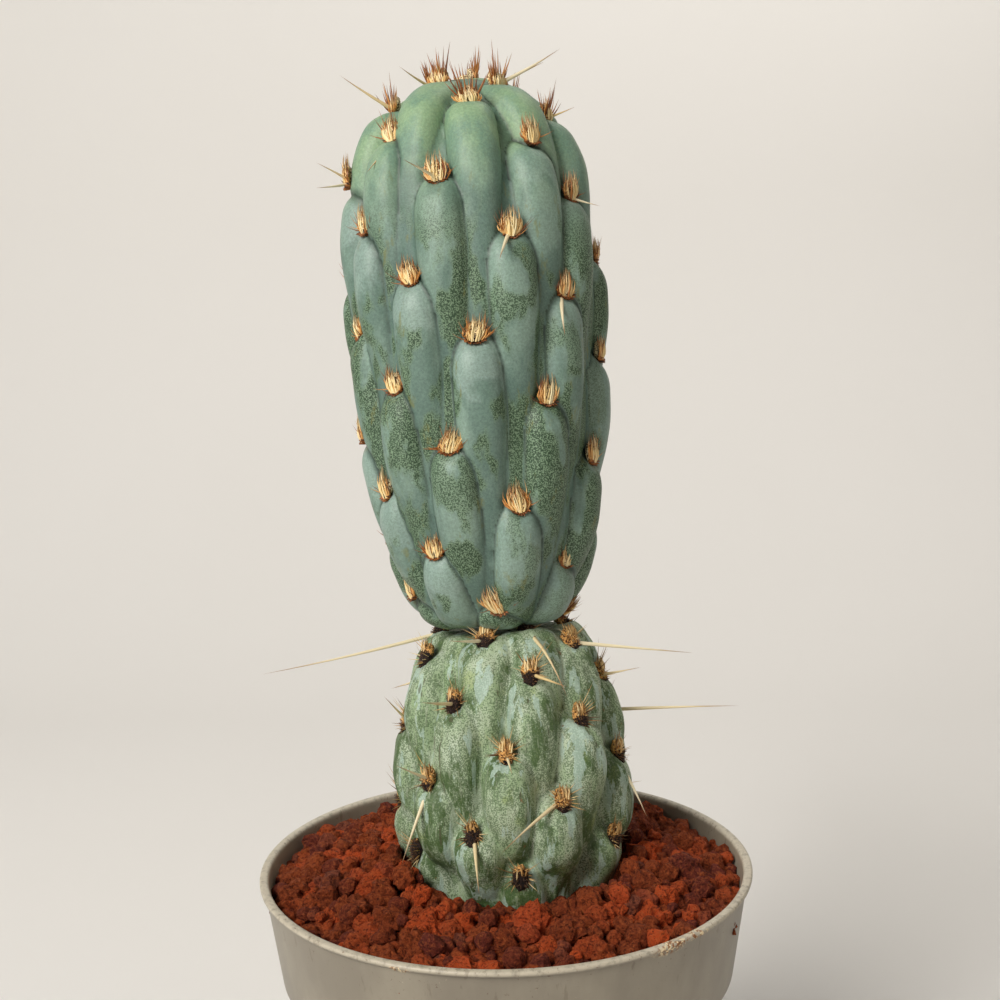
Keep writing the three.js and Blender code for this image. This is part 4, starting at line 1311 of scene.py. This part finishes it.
def lava():
    """Porous basalt scoria, matt, with the red of iron oxide; its crumbs carry painted light and
    shade.
    """
    material, tree, shader, grid = new_material("red_lava_scoria")
    tone, knob = (
        add(tree, "Attribute", attribute_name=name, output="Fac") for name in ("tone", "knob")
    )
    base = add(tree, "ValToRGB", tone, stops=LAVA_TONES)
    crumb = add(tree, "TexNoise", grid, 1 / 0.8, 5, 0.75)
    # a painted highlight on the raised crumbs
    crumb_highlight = add(tree, "MapRange", crumb, 0.5, 0.64, **SMOOTH)
    base = coat(tree, base, crumb_highlight, 0.55, "#d5743f")
    # painted shade in the low crumbs
    crumb_shade = add(tree, "MapRange", crumb, 0.5, 0.36, **SMOOTH)
    base = coat(tree, base, crumb_shade, 0.7, "#4a1c0c")
    # painted shade in the pores
    pore = patches(tree, grid, 0.7, 0.4, 0.34, detail=3, rough=0.6)
    base = coat(tree, base, pore, 0.6, "#3a1408")
    # painted shade in the hollows of the grains and the bed
    hollow = add(tree, "MapRange", knob, 0.96, 0.82, **SMOOTH)
    base = coat(tree, base, hollow, 0.7, "#2f1006")
    tree.links.new(base, shader.inputs["Base Color"])
    shader.inputs["Roughness"].default_value = 0.95
    shader.inputs["Specular IOR Level"].default_value = 0.2
    relief = add(tree, "Math", crumb, 1.5, **TIMES)
    relief = add(tree, "Math", relief, pore, **MINUS)
    bump = add(tree, "Bump", named={"Height": relief, "Strength": 1.0, "Distance": 1.6 * MM})
    tree.links.new(bump, shader.inputs["Normal"])
    return material


red_lava = show_nodes(lava())
make_piece("grit_bed", bed, red_lava, "lava_grit", "lava_grit")
for number, (label, kind) in enumerate({"coarse": COARSE, "medium": MEDIUM, "fine": FINE}.items()):
    chosen = grains[grains[:, 4] == number]
    make_piece(f"grit_{label}", make_grains(chosen, kind["faces"], grit_rng), red_lava,
               "lava_grit", "lava_grit", smooth=False)

# %% [markdown]
# ## Studio
# A seamless sweep: a pale floor that curves up into a wall, so that no line shows behind the
# plant. It is the stage and not part of the object. Rolled matt paint varies only slightly, over
# hundreds of millimetres, so its noise is that large.

# %% Floor and wall
SWEEP = {"front": -1.6, "bend": 0.42, "radius": 0.3, "top": 2.2, "width": 4.8}  # metres


def make_sweep():
    """A line of floor, a spun quarter circle and a wall, pulled out to its width."""
    bm = bmesh.new()
    corner = bm.verts.new((0, SWEEP["front"], 0))
    edge = bm.verts.new((0, SWEEP["bend"], 0))
    bm.edges.new((corner, edge))
    turned = bmesh.ops.spin(bm, geom=[edge], cent=(0, SWEEP["bend"], SWEEP["radius"]),
                            axis=(1, 0, 0), angle=math.pi / 2, steps=24)
    last = [v for v in turned["geom_last"] if isinstance(v, bmesh.types.BMVert)][0]
    top = bm.verts.new((0, last.co.y, SWEEP["top"]))
    bm.edges.new((last, top))
    bmesh.ops.translate(bm, verts=bm.verts, vec=(-SWEEP["width"] / 2, 0, 0))
    pulled = bmesh.ops.extrude_edge_only(bm, edges=bm.edges[:])
    moved = [v for v in pulled["geom"] if isinstance(v, bmesh.types.BMVert)]
    bmesh.ops.translate(bm, verts=moved, vec=(SWEEP["width"], 0, 0))
    return to_mesh(bm)


sweep = bpy.data.objects.new("sweep", make_sweep())
scene.collection.objects.link(sweep)
sweep.data.shade_smooth()
paint, tree, shader, grid = new_material("matt_wall_paint")
cloud = add(tree, "TexNoise", grid, 1 / 300, 2)
tone = add(tree, "Mix", cloud, "#e4e2de", "#e8e6e3", **COLOURS)
tree.links.new(tone, shader.inputs["Base Color"])
shader.inputs["Roughness"].default_value = 0.9
sweep.data.materials.append(show_nodes(paint))

# %% [markdown]
# The photograph was taken in soft daylight from the upper left. A large disk stands in for it, a
# weak one from the right opens the shadows, and two more light the wall, which is brighter at
# the top. A sky would light every side alike, so it is kept faint.

# %% Lights
MIDDLE = (0, 0, 0.14)
SKY_STRENGTH = 0.12


def add_light(name, place, target, size, power, tint):
    """A round area light that faces its target. Size is in metres and power in watts."""
    data = bpy.data.lights.new(name, "AREA")
    data.shape, data.size, data.energy = "DISK", size, power
    data.color = colour(tint)[:3]
    light = bpy.data.objects.new(name, data)
    light.location = place
    way = Vector(target) - Vector(place)
    light.rotation_euler = way.to_track_quat("-Z", "Y").to_euler()
    scene.collection.objects.link(light)
    print(f"{name}: {power} W")


add_light("key", (-0.61, -0.71, 0.8), MIDDLE, 0.6, 13.5, "#fffbf5")
add_light("fill", (0.9, -0.6, 0.5), MIDDLE, 0.6, 1.5, "#ffefd9")
add_light("wall_high", (0.3, 0.3, 0.95), (0.3, 0.72, 0.45), 0.4, 2.5, "#fffcf8")
add_light("wall_left", (-0.9, 0.1, 0.9), (-0.1, 0.72, 0.4), 0.5, 0.9, "#fffcf8")
world = bpy.data.worlds.new("studio")
scene.world = world
world.use_nodes = True
world.node_tree.nodes["Background"].inputs["Color"].default_value = colour("#f0efed")
world.node_tree.nodes["Background"].inputs["Strength"].default_value = SKY_STRENGTH
scene.view_settings.view_transform = "Standard"
